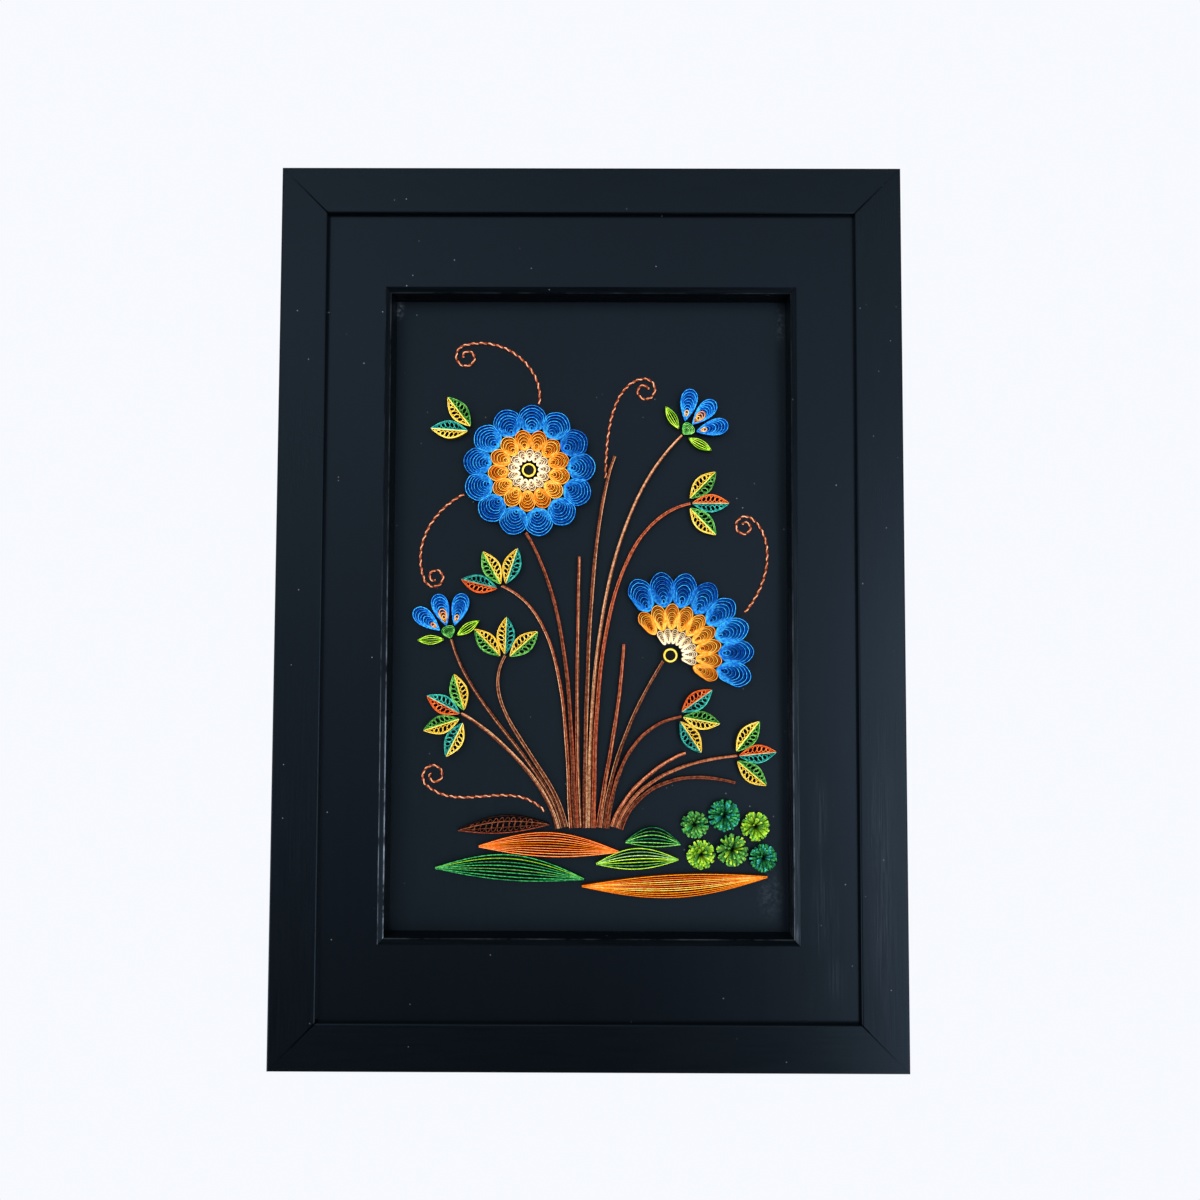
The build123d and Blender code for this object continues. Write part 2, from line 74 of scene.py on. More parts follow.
# %% [markdown]
# ## From arrays to a mesh
#
# A strip on edge is a box section carried along a plan path. Its four corners at each path
# point are the left and right side, at the low and the high lift. A bevelled curve would do
# for a few strips, but here there are thousands. So all strips of one kind are worked out as
# one array, and one call joins each row of corners to the next.
#
# Each point also keeps two numbers for the paper's finish: its strip's tone, drawn once for
# the whole strip, and its rim, which is 0 at the board and 1 at the edge that faces the eye.
# From the rim the finish paints shade down the walls and a highlight on the edge.

# %% Rows of corners become a skin
def skin(batch, rows, sides, closed):
    """Quads between neighbouring rows of corners, outward, with caps where the path is open."""
    start = np.arange(rows if closed else rows - 1)[:, None] * sides
    after = (start + sides) % (rows * sides)
    k = np.arange(sides)
    turn = (k + 1) % sides
    quads = np.stack([start + k, start + turn, after + turn, after + k], -1).reshape(-1, 4)
    if not closed:
        cap = np.array([[0, 1, 2, 3], [0, 3, 4, 5]][: sides // 2 - 1])
        quads = np.concatenate([quads, cap[:, ::-1], cap + (rows - 1) * sides])
    return (quads + np.arange(batch)[:, None, None] * rows * sides).reshape(-1, 4)


def to_world(plan, lift):
    """Points in metres: (x, PICTURE_FRONT - lift, MIDDLE_Z + z), from plan and lift in mm."""
    plan, lift = np.broadcast_arrays(plan, np.asarray(lift)[..., None])
    points = np.stack([plan[..., 0], PICTURE_FRONT - lift[..., 0], MIDDLE_Z + plan[..., 1]], -1)
    return points * MM


def sideways(paths, closed):
    """Unit vectors to the left of each path: its direction turned a quarter."""
    if closed:
        step = np.roll(paths, -1, -2) - np.roll(paths, 1, -2)
    else:
        step = np.gradient(paths, axis=-2)
    step /= np.linalg.norm(step, axis=-1, keepdims=True) + 1e-9
    return np.stack([-step[..., 1], step[..., 0]], -1)


def strips(paths, width, low, high, closed=False, finish=0):
    """Paper strips: path +- left * width / 2, from the low to the high lift.

    paths is (points, 2) or (strips, points, 2). width, low and high are numbers, or arrays
    that spread over (strips, points). finish is the paper's place in the piece's list.
    """
    if paths.ndim == 2:
        paths = paths[None]
    size = count, rows = paths.shape[:2]
    width, low, high = (np.broadcast_to(np.asarray(v, float), size) for v in (width, low, high))
    left = sideways(paths, closed) * width[..., None] / 2
    corners = [to_world(paths + left, low), to_world(paths + left, high)]
    corners += [to_world(paths - left, high), to_world(paths - left, low)]
    points = np.stack(corners, 2).reshape(-1, 3)
    tone = np.repeat(draw.random(count), rows * 4)
    # Rim: 0 at the board and 1 on top, for the painted shade on the walls and the painted highlight on
    # the edge
    rim = np.tile([0.0, 1.0, 1.0, 0.0], count * rows)
    return points, skin(count, rows, 4, closed), tone, rim, finish


# %% Many skins become one object
def make(name, skins, finishes, node):
    """Stacks skins into one mesh, with the finish of each, and puts it in its node's place."""
    points, quads, tone, rim, finish = zip(*skins)
    starts = np.cumsum([0] + [len(p) for p in points])
    quads = [q + start for q, start in zip(quads, starts)]
    finish = [np.full(len(q), f) for q, f in zip(quads, finish)]
    mesh = bpy.data.meshes.new(name)
    mesh.from_pydata(np.concatenate(points), [], np.concatenate(quads))
    for label, values in (("tone", tone), ("rim", rim)):
        values = np.concatenate(values)
        mesh.attributes.new(label, "FLOAT", "POINT").data.foreach_set("value", values)
    mesh.polygons.foreach_set("material_index", np.concatenate(finish).astype(np.int32))
    for finish_name in finishes:
        mesh.materials.append(bpy.data.materials[finish_name])
    piece = bpy.data.objects.new(name, mesh)
    bpy.context.collection.objects.link(piece)
    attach(piece, "root")
    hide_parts(node)
    print(name, "has", len(mesh.polygons) * 2, "triangles")
    return piece


# %% [markdown]
# ## A small language for finishes
#
# Every finish here is a tree of nodes that works out a colour and a roughness at each point.
# It could be wired by hand or painted as an image. In code the same few steps come back all
# the time, so each gets a short word of its own: number, remap, noise, blend and finish_off.

# %% Words for node trees
def adder(tree):
    """Empties a node tree and gives the call that adds one node with its inputs and settings."""
    tree.nodes.clear()

    def add(kind, inputs=None, **settings):
        node = tree.nodes.new("ShaderNode" + kind)
        for key, value in settings.items():
            setattr(node, key, value)
        named = {}
        for socket in node.inputs:
            if socket.enabled:
                named.setdefault(socket.name, socket)
        for key, value in (inputs or {}).items():
            socket = named[key] if isinstance(key, str) else node.inputs[key]
            if isinstance(value, bpy.types.NodeSocket):
                tree.links.new(value, socket)
            else:
                socket.default_value = value
        return node

    return add


def blank(name):
    """New material with an empty tree: the call that fills it, and the point on the object."""
    material = bpy.data.materials.new(name)
    material.use_nodes = True
    add = adder(material.node_tree)
    return material, add, add("TexCoord").outputs["Object"]


def rgb(*levels):
    """Screen levels of 0 to 255 become linear light, with an alpha of 1."""
    c = np.array(levels) / 255
    linear = np.where(c <= 0.04045, c / 12.92, ((c + 0.055) / 1.055) ** 2.4)
    return (*linear.tolist(), 1.0)


# %% Numbers and colours by node
def number(add, operation, first, second=0.0):
    """One number from one or two others, by the operation named."""
    return add("Math", {0: first, 1: second}, operation=operation).outputs[0]


def remap(add, value, low, high, start=0.0, end=1.0, **settings):
    """Straight line that takes low to start and high to end, and stays between them."""
    spans = {"Value": value, "From Min": low, "From Max": high, "To Min": start, "To Max": end}
    return add("MapRange", spans, **settings).outputs[0]


def noise(add, place, scale, detail, rough=0.5):
    """Cloudy number round a half, with scale clouds to the metre."""
    wave = {"Vector": place, "Scale": scale, "Detail": detail, "Roughness": rough}
    return add("TexNoise", wave).outputs["Fac"]


def blend(add, share, under, over):
    """Colour that goes from under to over as the share goes from 0 to 1."""
    return add("Mix", {"Factor": share, "A": under, "B": over}, data_type="RGBA").outputs[2]


def finish_off(add, colour, rough, height, strength, distance, **constant):
    """Principled surface with a bump, to the output."""
    bump = add("Bump", {"Height": height, "Strength": strength, "Distance": distance})
    inputs = {"Base Color": colour, "Roughness": rough, "Normal": bump.outputs[0]}
    inputs.update(constant)
    surface = add("BsdfPrincipled", inputs)
    add("OutputMaterial", {"Surface": surface.outputs[0]})


# %% [markdown]
# ## Paper
#
# A quilling strip is dyed through and cut from a sheet, so its cut edge is a little paler
# than its faces, and slightly furry. One plain colour a strip would look like plastic. So the
# colour is mixed from the strip's tone and rim. The tone mixes the paper with a copy of it in
# painted shade. The pale edge, paler cut paper with a painted highlight, is broken by a noise
# of about two millimetres, and below the edge the walls are darkened into painted shade, as
# they fall into shade in a packed coil. That painted shade is what parts one strip from the
# next. A finer noise raises the fibres.

# %% Dyed strips
CLOUDS, FIBRES = 560.0, 3200.0
PALE_FROM, LIT_FROM, DEEPEST_PAINTED_SHADE = 0.55, 0.8, 0.06
PAPER_SHINE = 0.12


def paper(name, deep, body, edge):
    """Dyed strip, from its deep to its body colour by tone, with a pale edge.

    pale share = rise of the rim past PALE_FROM * broken noise * the strip's own share: it
    paints the paler cut edge with a highlight on it
    light = rise of the rim past LIT_FROM, from DEEPEST_PAINTED_SHADE to 1, * the fibres' 0.85
    to 1.15: it paints shade on the walls below the edge
    """
    _, add, place = blank(name)
    tone = add("Attribute", attribute_name="tone").outputs["Fac"]
    rim = add("Attribute", attribute_name="rim").outputs["Fac"]
    fibre = noise(add, place, FIBRES, 3.0)
    broken = remap(add, noise(add, place, CLOUDS, 3.0, 0.65), 0.42, 0.58, 0.12, 1.0)
    # Pale edge: paler cut paper with a painted highlight. The deep colour, mixed in by tone, is the
    # paper in painted shade.
    pale = number(add, "MULTIPLY", remap(add, rim, PALE_FROM, 1.0, 0.0, 0.85), broken)
    pale = number(add, "MULTIPLY", pale, remap(add, tone, 0.0, 1.0, 0.25, 1.0))
    colour = blend(add, pale, blend(add, tone, rgb(*deep), rgb(*body)), rgb(*edge))
    # Painted shade: the walls darken below LIT_FROM, down to DEEPEST_PAINTED_SHADE at the board
    light = remap(add, rim, LIT_FROM, 1.0, DEEPEST_PAINTED_SHADE, 1.0)
    light = number(add, "MULTIPLY", remap(add, fibre, 0.0, 1.0, 0.85, 1.15), light)
    colour = add("HueSaturation", {"Value": light, "Color": colour}).outputs[0]
    rough = remap(add, fibre, 0.0, 1.0, 0.62, 0.86)
    finish_off(add, colour, rough, fibre, 0.5, 0.00006, **{"Specular IOR Level": PAPER_SHINE})


# Colours as the eye meets them, with light and shade painted in: shaded side, lit side, cut edge with
# its highlight
PAPERS = {
    "cobalt_strip": ((0, 58, 160), (0, 112, 222), (72, 200, 255)),
    "cobalt_deep_strip": ((0, 34, 120), (0, 66, 174), (0, 106, 220)),
    "orange_strip": ((240, 112, 2), (255, 164, 18), (255, 222, 112)),
    "orange_deep_strip": ((204, 80, 0), (248, 124, 4), (255, 172, 44)),
    "cream_strip": ((242, 200, 138), (255, 230, 180), (255, 250, 230)),
    "cream_deep_strip": ((220, 174, 118), (246, 208, 154), (254, 232, 188)),
    "black_strip": ((8, 8, 10), (16, 16, 18), (40, 38, 36)),
    "yellow_strip": ((222, 164, 12), (252, 210, 40), (255, 242, 140)),
    "teal_strip": ((0, 74, 78), (0, 142, 128), (96, 226, 196)),
    "green_strip": ((8, 80, 26), (36, 150, 52), (158, 230, 112)),
    "forest_strip": ((0, 56, 34), (6, 110, 60), (84, 210, 112)),
    "mint_strip": ((62, 128, 44), (118, 190, 82), (206, 246, 172)),
    "salmon_strip": ((206, 66, 12), (255, 112, 30), (255, 160, 84)),
    "lime_strip": ((74, 148, 4), (150, 218, 20), (228, 255, 98)),
    "brown_strip": ((38, 13, 8), (86, 37, 21), (160, 92, 60)),
    "umber_strip": ((16, 6, 5), (40, 17, 12), (80, 43, 30)),
    "russet_strip": ((104, 30, 14), (164, 62, 32), (226, 128, 84)),
    "tan_strip": ((120, 66, 40), (176, 112, 74), (240, 186, 138)),
    "copper_strand": ((176, 84, 44), (224, 132, 88), (255, 196, 156)),
    "copper_shade_strand": ((70, 22, 8), (110, 42, 20), (160, 76, 44)),
}
for finish_name, colours in PAPERS.items():
    paper(finish_name, *colours)
print(len(PAPERS), "paper finishes")

# %% [markdown]
# ## Joints, rubs, highlights and pale patches
#
# Paint on a frame tells how it was built and used. At a mitre the paint has sunk into the
# joint, as a dark line that is filled towards the outer corner. Pale broken lines run along
# the slips' edges: partly paint rubbed pale, partly painted highlights. Low on the right,
# paler streaks run along the bars, and on the right slip such pale marks paint its
# reflection. Glue and fingers leave cloudy patches on card. Cut grooves would be too coarse
# for marks this fine, so they are colour: each mark is a share from 0 to 1, worked out from
# the distance to a line, an edge or a spot.

# %% The line of a mitre
JOINT_SHARP, JOINT_NARROW, JOINT_WIDE = 0.2, 0.4, 1.4


def mitre_line(add, place, half_width, half_height, reach):
    """0 on the joint of two mitred bars and 1 off it; it fades over the outer reach.

    The joint lies where |x| - |z| = half_width - half_height, and its width wanders.
    """
    axes = add("SeparateXYZ", {0: place}).outputs
    x = number(add, "ABSOLUTE", axes["X"])
    z = number(add, "ABSOLUTE", number(add, "SUBTRACT", axes["Z"], MIDDLE_Z * MM))
    skew = number(add, "SUBTRACT", number(add, "SUBTRACT", x, z), (half_width - half_height) * MM)
    width = remap(add, noise(add, place, 70.0, 3.0), 0.3, 0.7, JOINT_NARROW * MM, JOINT_WIDE * MM)
    joint = remap(add, number(add, "ABSOLUTE", skew), JOINT_SHARP * MM, width)
    filled = remap(add, x, (half_width - reach) * MM, (half_width - reach / 4) * MM, 0.0, 0.9)
    return number(add, "MAXIMUM", joint, filled)


# %% Pale edge lines and pale patches
UP, ACROSS = 2, 0
EDGE_LINE_LOW, EDGE_LINE_HIGH, EDGE_LINE_LEFT = MIDDLE_Z - 150, MIDDLE_Z + 40, 0.08


def edge_wear_and_highlight(add, place, along, edge, reach, strength):
    """Broken line along one edge, given as (x or z, y): full near it and gone at its reach.

    On an upright bar it also fades upwards. The line is partly rubbed paint and partly a painted
    highlight on the edge.
    """
    off, depth = edge
    corner = (off * MM, depth * MM, 0) if along == UP else (0, depth * MM, (MIDDLE_Z + off) * MM)
    spot = add("VectorMath", {0: place, 1: corner}, operation="SUBTRACT").outputs[0]
    spot = add("VectorMath", {0: spot}, operation="ABSOLUTE").outputs[0]
    away = add("SeparateXYZ", {0: spot}).outputs
    near = number(add, "MAXIMUM", away["X" if along == UP else "Z"], away["Y"])
    line = remap(add, near, 0.3 * reach * MM, reach * MM, 1.0, 0.0)
    broken = remap(add, noise(add, place, 45.0, 5.0, 0.7), 0.40, 0.62, 0.0, strength)
    pale_line_share = number(add, "MULTIPLY", line, broken)
    if along == UP:
        height = add("SeparateXYZ", {0: place}).outputs["Z"]
        low = remap(add, height, EDGE_LINE_LOW * MM, EDGE_LINE_HIGH * MM, 1.0, EDGE_LINE_LEFT)
        pale_line_share = number(add, "MULTIPLY", pale_line_share, low)
    return pale_line_share


def pale_patch(add, place, patchiness, middle, half, strength):
    """Pale patch in an ellipse about (x, z), full in its middle and gone at its edge: smudges, paler
    streaks and painted reflections.
    """
    (x, z), (half_x, half_z) = middle, half
    centre = (x * MM, 0, (MIDDLE_Z + z) * MM)
    spot = add("VectorMath", {0: place, 1: centre}, operation="SUBTRACT").outputs[0]
    shrink = (1 / half_x / MM, 0, 1 / half_z / MM)
    spot = add("VectorMath", {0: spot, 1: shrink}, operation="MULTIPLY").outputs[0]
    away = add("VectorMath", {0: spot}, operation="LENGTH").outputs["Value"]
    patch = remap(add, away, 0.2, 1.0, 1.0, 0.0)
    return number(add, "MULTIPLY", remap(add, patchiness, 0.45, 0.7, 0.0, strength), patch)


# %% [markdown]
# ## Satin black paint
#
# The frame is brushed with satin black. The brush leaves streaks along each bar, so the
# stiles' streaks run upright and the rails' run across, and each kind of bar has its own
# strength of them. They could be one noise for all, but then the mitres would not show. Dust
# sits on it as pale specks: the cells of a fine Voronoi pattern, of which only a few are kept.

# %% Streaks and specks
DUST_CELLS = 260.0


def stretched(add, place, along, fine, coarse):
    """Object point scaled so that noise on it is drawn out along one axis."""
    scale = [fine, fine, fine]
    scale[along] = coarse
    return add("Mapping", {"Vector": place, "Scale": scale}).outputs[0]


def specks(add, place, amount):
    """Small round spots: the middles of fine cells, for the few cells with a high number."""
    cells = add("TexVoronoi", {"Vector": place, "Scale": DUST_CELLS, "Randomness": 1.0})
    middle = remap(add, cells.outputs["Distance"], 0.05, 0.13, 1.0, 0.0)
    chance = add("SeparateColor", {"Color": cells.outputs["Color"]}).outputs[0]
    return number(add, "MULTIPLY", middle, remap(add, chance, 0.965, 0.97, 0.0, amount))


# %% Brushed paint
PAINT_SHINE, SLIP_SHINE = 0.32, 0.14
PAINT_TINT = (0.57, 0.82, 1.0, 1.0)
JOINT_BLACK, DUST_GREY = rgb(0, 0, 1), rgb(150, 156, 162)
WORN_AND_HIGHLIGHT_GREY, PALE_PATCH_GREY = rgb(150, 162, 176), rgb(120, 130, 140)
FINE, ALONG_BAR, SMEARS = 900.0, 22.0, 420.0


def paint(name, along, deep, worn, gloss, streak=0.6, dust=0.4, mitre=None, edge_lines=(), pale_patches=(),
          shine=PAINT_SHINE, brushed=1.0, drawn_out=False):
    """Brushed paint: noise stretched along the bar moves its colour, roughness and bump.

    Its colour goes from deep to worn by up to streak, with specks by up to dust. Roughness
    varies about gloss, and shine is the specular level. mitre holds the half width and height
    of the mitred frame, and the length over which its joint fills up. Each of edge_lines is an
    edge, its reach and its strength: a pale line of rubbed paint and painted highlight. Each of
    pale_patches is a middle, its half sizes and its strength: cloudy, or with drawn_out in
    streaks along the bar; the patches are smudges, paler streaks and painted reflections.
    brushed is the brush marks' strength.
    """
    material, add, place = blank(name)
    drawn = stretched(add, place, along, FINE, ALONG_BAR)
    streaks = noise(add, drawn, 1.0, 5.0, 0.6)
    colour = blend(add, remap(add, streaks, 0.3, 0.75, 0.0, streak), rgb(*deep), rgb(*worn))
    colour = blend(add, specks(add, place, dust), colour, DUST_GREY)
    uneven = number(add, "ADD", streaks, noise(add, place, 9.0, 3.0))
    rough = remap(add, uneven, 0.6, 1.4, gloss - 0.07 * brushed, gloss + 0.12 * brushed)
    tint = PAINT_TINT
    if mitre:
        open_paint = mitre_line(add, place, *mitre)
        colour = blend(add, open_paint, JOINT_BLACK, colour)
        tint = blend(add, open_paint, JOINT_BLACK, PAINT_TINT)
    # Pale edge lines: partly rubbed paint, partly painted highlights
    for pale_line in edge_lines:
        colour = blend(add, edge_wear_and_highlight(add, place, along, *pale_line), colour, WORN_AND_HIGHLIGHT_GREY)
    # Pale patches: smudges on the card, paler streaks low on the right, painted reflections on the right
    # slip
    for patch in pale_patches:
        if drawn_out:
            patchiness = noise(add, drawn, 1.0, 6.0, 0.75)
        else:
            patchiness = noise(add, place, SMEARS, 6.0, 0.75)
        colour = blend(add, pale_patch(add, place, patchiness, *patch), colour, PALE_PATCH_GREY)
    finish_off(add, colour, rough, streaks, 0.2 * brushed, 0.00012,
               **{"Specular IOR Level": shine, "Specular Tint": tint})
    return material


# %% [markdown]
# ## Bare boards and metal
#
# The back is hardboard, the hidden battens are planed pine, and the fittings are sheet steel
# and brassed sheet. A photograph of wood would repeat. Noise that is drawn out along the
# grain doesn't, and the same trick, finer, makes the scratches of rolled metal.

# %% Boards and fittings
def grained(name, along, dark, pale, rough, coarse, fine):
    """Bare board: noise with fine clouds to the metre, drawn out to coarse along the grain."""
    material, add, place = blank(name)
    grain = noise(add, stretched(add, place, along, fine, coarse), 1.0, 6.0, 0.65)
    colour = blend(add, remap(add, grain, 0.3, 0.7), rgb(*dark), rgb(*pale))
    rough = remap(add, grain, 0.0, 1.0, rough - 0.08, rough + 0.08)
    finish_off(add, colour, rough, grain, 0.3, 0.0001)
    return material


def metal(name, colour, rough):
    """Sheet metal with fine scratches, and dull patches at 0.55 of its colour."""
    material, add, place = blank(name)
    scratch = noise(add, stretched(add, place, ACROSS, 2500.0, 300.0), 1.0, 4.0)
    dull = [c * 0.55 for c in rgb(*colour)[:3]] + [1.0]
    patchy = remap(add, noise(add, place, 180.0, 3.0), 0.4, 0.7)
    rough = remap(add, scratch, 0.0, 1.0, rough - 0.1, rough + 0.15)
    finish_off(add, blend(add, patchy, rgb(*colour), dull), rough, scratch, 0.25, 0.00003, Metallic=1.0)
    return material


# %% [markdown]
# ## Dressing the frame
#
# A brush follows the bar, so upright and level bars get paints of their own, and so do the
# slips, whose edges are partly worn and partly carry painted highlights. One paint for all
# would be shorter, but in the photograph each kind of bar looks different. The places of the
# marks below follow the photograph, and some of them are painted highlights and reflections.

# %% Where the frame is worn, and where highlights and reflections are painted
FRAME_MITRE = (FRAME_WIDTH / 2, FRAME_HEIGHT / 2, 28.0)
SLIP_MITRE = (133.0, 210.0, 32.0)
SLIP_NOSE_Y = -23.9
# Pale lines along the slips: on the left rubbed paint with a painted highlight, on the right and at the
# ends painted highlights
LEFT_SLIP_WEAR_AND_HIGHLIGHTS = [((-132.7, -26.0), 0.4, 0.4), ((-129.5, SLIP_NOSE_Y), 0.75, 0.95)]
RIGHT_SLIP_HIGHLIGHTS = [((129.5, SLIP_NOSE_Y), 0.75, 0.28)]
END_SLIP_HIGHLIGHTS = [((-206.5, SLIP_NOSE_Y), 0.7, 0.07), ((206.5, SLIP_NOSE_Y), 0.7, 0.045)]
# Pale patches: smudges on the card; paler streaks low on the right stile and band; painted reflections
# on the right slip's face
CARD_SCUFFS = [((-128, 201), (5, 9), 0.6), ((125, 190), (4, 18), 0.12), ((117, -182), (10, 20), 0.12)]
STILE_PALE_STREAKS = [((184, -160), (11, 100), 0.08)]
SLIP_PAINTED_REFLECTIONS = [((131.4, -110), (6, 170), 0.16), ((131.0, -203), (2.5, 7), 0.4)]
BAND_PALE_STREAKS = [((146, -128), (6, 30), 0.07), ((148, -187), (11, 36), 0.06), ((154, -232), (9, 18), 0.05)]

# %% Dress the frame's solids
BLACK, WORN = (2, 4, 6), (7, 11, 15)
BAND_BLACK, BAND_WORN = (3, 5, 8), (8, 13, 18)
CARD_BLACK, CARD_WORN = (5, 9, 12), (12, 19, 24)
BATTENS = ["batten_left", "batten_right", "batten_top", "batten_bottom"]
finishes = {
    paint("paint_upright", UP, BLACK, WORN, 0.22, mitre=FRAME_MITRE, pale_patches=STILE_PALE_STREAKS,
          brushed=0.8, drawn_out=True): ["left_stile", "right_stile"],
    paint("paint_across", ACROSS, BLACK, WORN, 0.22, mitre=FRAME_MITRE,
          brushed=0.4): ["top_rail", "bottom_rail"],
    paint("paint_slip_left", UP, BLACK, WORN, 0.24, mitre=SLIP_MITRE,
          edge_lines=LEFT_SLIP_WEAR_AND_HIGHLIGHTS): ["slip_left"],
    paint("paint_slip_right", UP, BLACK, WORN, 0.24, mitre=SLIP_MITRE, edge_lines=RIGHT_SLIP_HIGHLIGHTS,
          pale_patches=SLIP_PAINTED_REFLECTIONS, drawn_out=True): ["slip_right"],
    paint("paint_slip_across", ACROSS, BLACK, WORN, 0.24, mitre=SLIP_MITRE,
          edge_lines=END_SLIP_HIGHLIGHTS, shine=SLIP_SHINE): ["slip_top", "slip_bottom"],
    paint("paint_window", UP, BAND_BLACK, BAND_WORN, 0.24, streak=0.25, pale_patches=BAND_PALE_STREAKS,
          brushed=0.25, drawn_out=True): ["window_board"],
    paint("matt_card", UP, CARD_BLACK, CARD_WORN, 0.46, streak=0.5, dust=0.35,
          pale_patches=CARD_SCUFFS): ["picture_board"],
    grained("hardboard", ACROSS, (92, 62, 38), (134, 96, 62), 0.6, 300.0, 700.0): ["back_board"],
    grained("planed_pine", UP, (176, 128, 78), (214, 172, 118), 0.6, 18.0, 420.0): BATTENS,
    metal("bright_steel", (176, 178, 180), 0.35): ["framers_points", "corner_nails", "hanger_nails"],
    metal("brassed_sheet", (196, 160, 92), 0.32): ["sawtooth_hanger"],
}
for material, names in finishes.items():
    for node in names:
        for material_slot in frame["nodes"][node].material_slots:
            material_slot.material = material
print("dressed", sum(len(names) for names in finishes.values()), "solids of the frame")

# %% [markdown]
# ## Plan lines
#
# The outlines are those of the solids, with more points: a cubic curve, a bowed line (half
# a sine), a pinched coil, and the petal of a full ring. They could be traced as lists of
# points, but a formula stays smooth at any count. A closed outline is softened by spacing
# its points evenly and averaging each with its neighbours, as paper rounds a corner.

# %% Open lines
def turned(points, at, angle):
    """Points turned by an angle in degrees, then moved to a place."""
    c, s = np.cos(radians(angle)), np.sin(radians(angle))
    return np.asarray(points) @ np.array([[c, s], [-s, c]]) + at


def rays(angle):
    """Unit vectors at angles in radians: (cos, sin)."""
    return np.stack([np.cos(angle), np.sin(angle)], -1)


def polar(centre, radius, angle):
    """Point at a radius and an angle in degrees from a centre."""
    return np.array(centre) + radius * rays(radians(angle))


def curve(p0, p1, p2, p3, count):
    """Cubic curve through p0 and p3: the sum of the four points times their weights."""
    t = np.linspace(0, 1, count)[:, None]
    return (1 - t) ** 3 * p0 + 3 * t * (1 - t) ** 2 * p1 + 3 * t**2 * (1 - t) * p2 + t**3 * p3


def bowed(length, rise, share):
    """Bowed line: x = length * share and z = rise * sin(pi * share)."""
    return np.stack([length * share, rise * np.sin(np.pi * share)], -1)


# %% Closed outlines
TURN_WOBBLE = 0.04


def teardrop(length, width):
    """Pinched coil: x = L(1 - cos t)/2 and z = k sin t sin(t/2), sharp at the origin."""
    t = np.linspace(0, 2 * np.pi, 40, endpoint=False)
    k = width / 2 / (4 / np.sqrt(27))
    return np.stack([length * (1 - np.cos(t)) / 2, -k * np.sin(t) * np.sin(t / 2)], -1)


def soften(corners, count):
    """Even points along a closed outline, each averaged twice with its neighbours."""
    loop = np.concatenate([corners, corners[:1]])
    along = np.concatenate([[0], np.cumsum(np.linalg.norm(np.diff(loop, axis=0), axis=1))])
    even = np.linspace(0, along[-1], count, endpoint=False)
    points = np.stack([np.interp(even, along, loop[:, i]) for i in (0, 1)], -1)
    for _ in range(2):
        points = points / 2 + (np.roll(points, 1, 0) + np.roll(points, -1, 0)) / 4
    return points


def nest(outline, anchor, count, least):
    """Turns of one coil: the outline drawn in towards the point where its turns are glued.

    turn = anchor + (outline - anchor) * share, with the share from 1 down to least.
    """
    share = np.linspace(1, least, count)[:, None, None]
    turns = anchor + (outline - anchor) * share
    return turns + draw.normal(0, TURN_WOBBLE, turns.shape)


# %% [markdown]
# ## The blossoms
#
# Each petal is a coil of many turns, pressed into its outline. Its turns are nested, and
# meet near the foot where they are glued. A single spiral would be truer to the hand, but
# nested turns keep the petal's outline sharp. Between two tall turns lies a lower, deeper
# one in a darker copy of the paper, which paints the shade between the tall turns, so that
# the petal reads as one blue field with paler lines, as packed strips do.

# %% Petals of full rings
PETAL_HEIGHT, INNER_PETAL_HEIGHT, CENTRE_HEIGHT = 6.0, 7.0, 8.0
COIL_STRIP, SUNK_TURN, UNEVEN_TURN = 0.34, 1.2, 0.5
# Inner and outer radius, inner and outer crest, height
RINGS = {
    "heart": (5.4, 14.0, 1.2, 2.2, CENTRE_HEIGHT),
    "inner_petals": (12.4, 27.0, 2.4, 3.6, INNER_PETAL_HEIGHT),
    "petals": (24.2, 43.5, 3.8, 5.0, PETAL_HEIGHT),
}
# Tall paper, sunk paper (a darker copy, as painted shade), number of turns, points in a turn
PETAL_LOOK = {
    "heart": ("cream_strip", "cream_deep_strip", 4, 30),
    "inner_petals": ("orange_strip", "orange_deep_strip", 6, 36),
    "petals": ("cobalt_strip", "cobalt_deep_strip", 8, 44),
}


def petal(centre, angle, half, inner, outer, inner_crest, outer_crest):
    """Closed outline in polar steps: V-shaped foot, straight sides, arched head.

    The head's radius falls from outer by outer_crest * (1 - cos) of a quarter turn each way.
    """
    head = np.linspace(-1, 1, 9)
    arch = outer - outer_crest * (1 - np.cos(head * np.pi / 2)) - GAP / 2
    shoulder = inner + inner_crest + GAP
    radius = np.concatenate([[inner + GAP, shoulder], arch, [shoulder]])
    bend = np.concatenate([[0, -half], head * half, [half]])
    side = bend - np.sign(bend) * np.degrees(GAP / 2 / radius) * (np.abs(bend) > half * 0.9)
    return centre + radius[:, None] * rays(np.radians(angle + side))


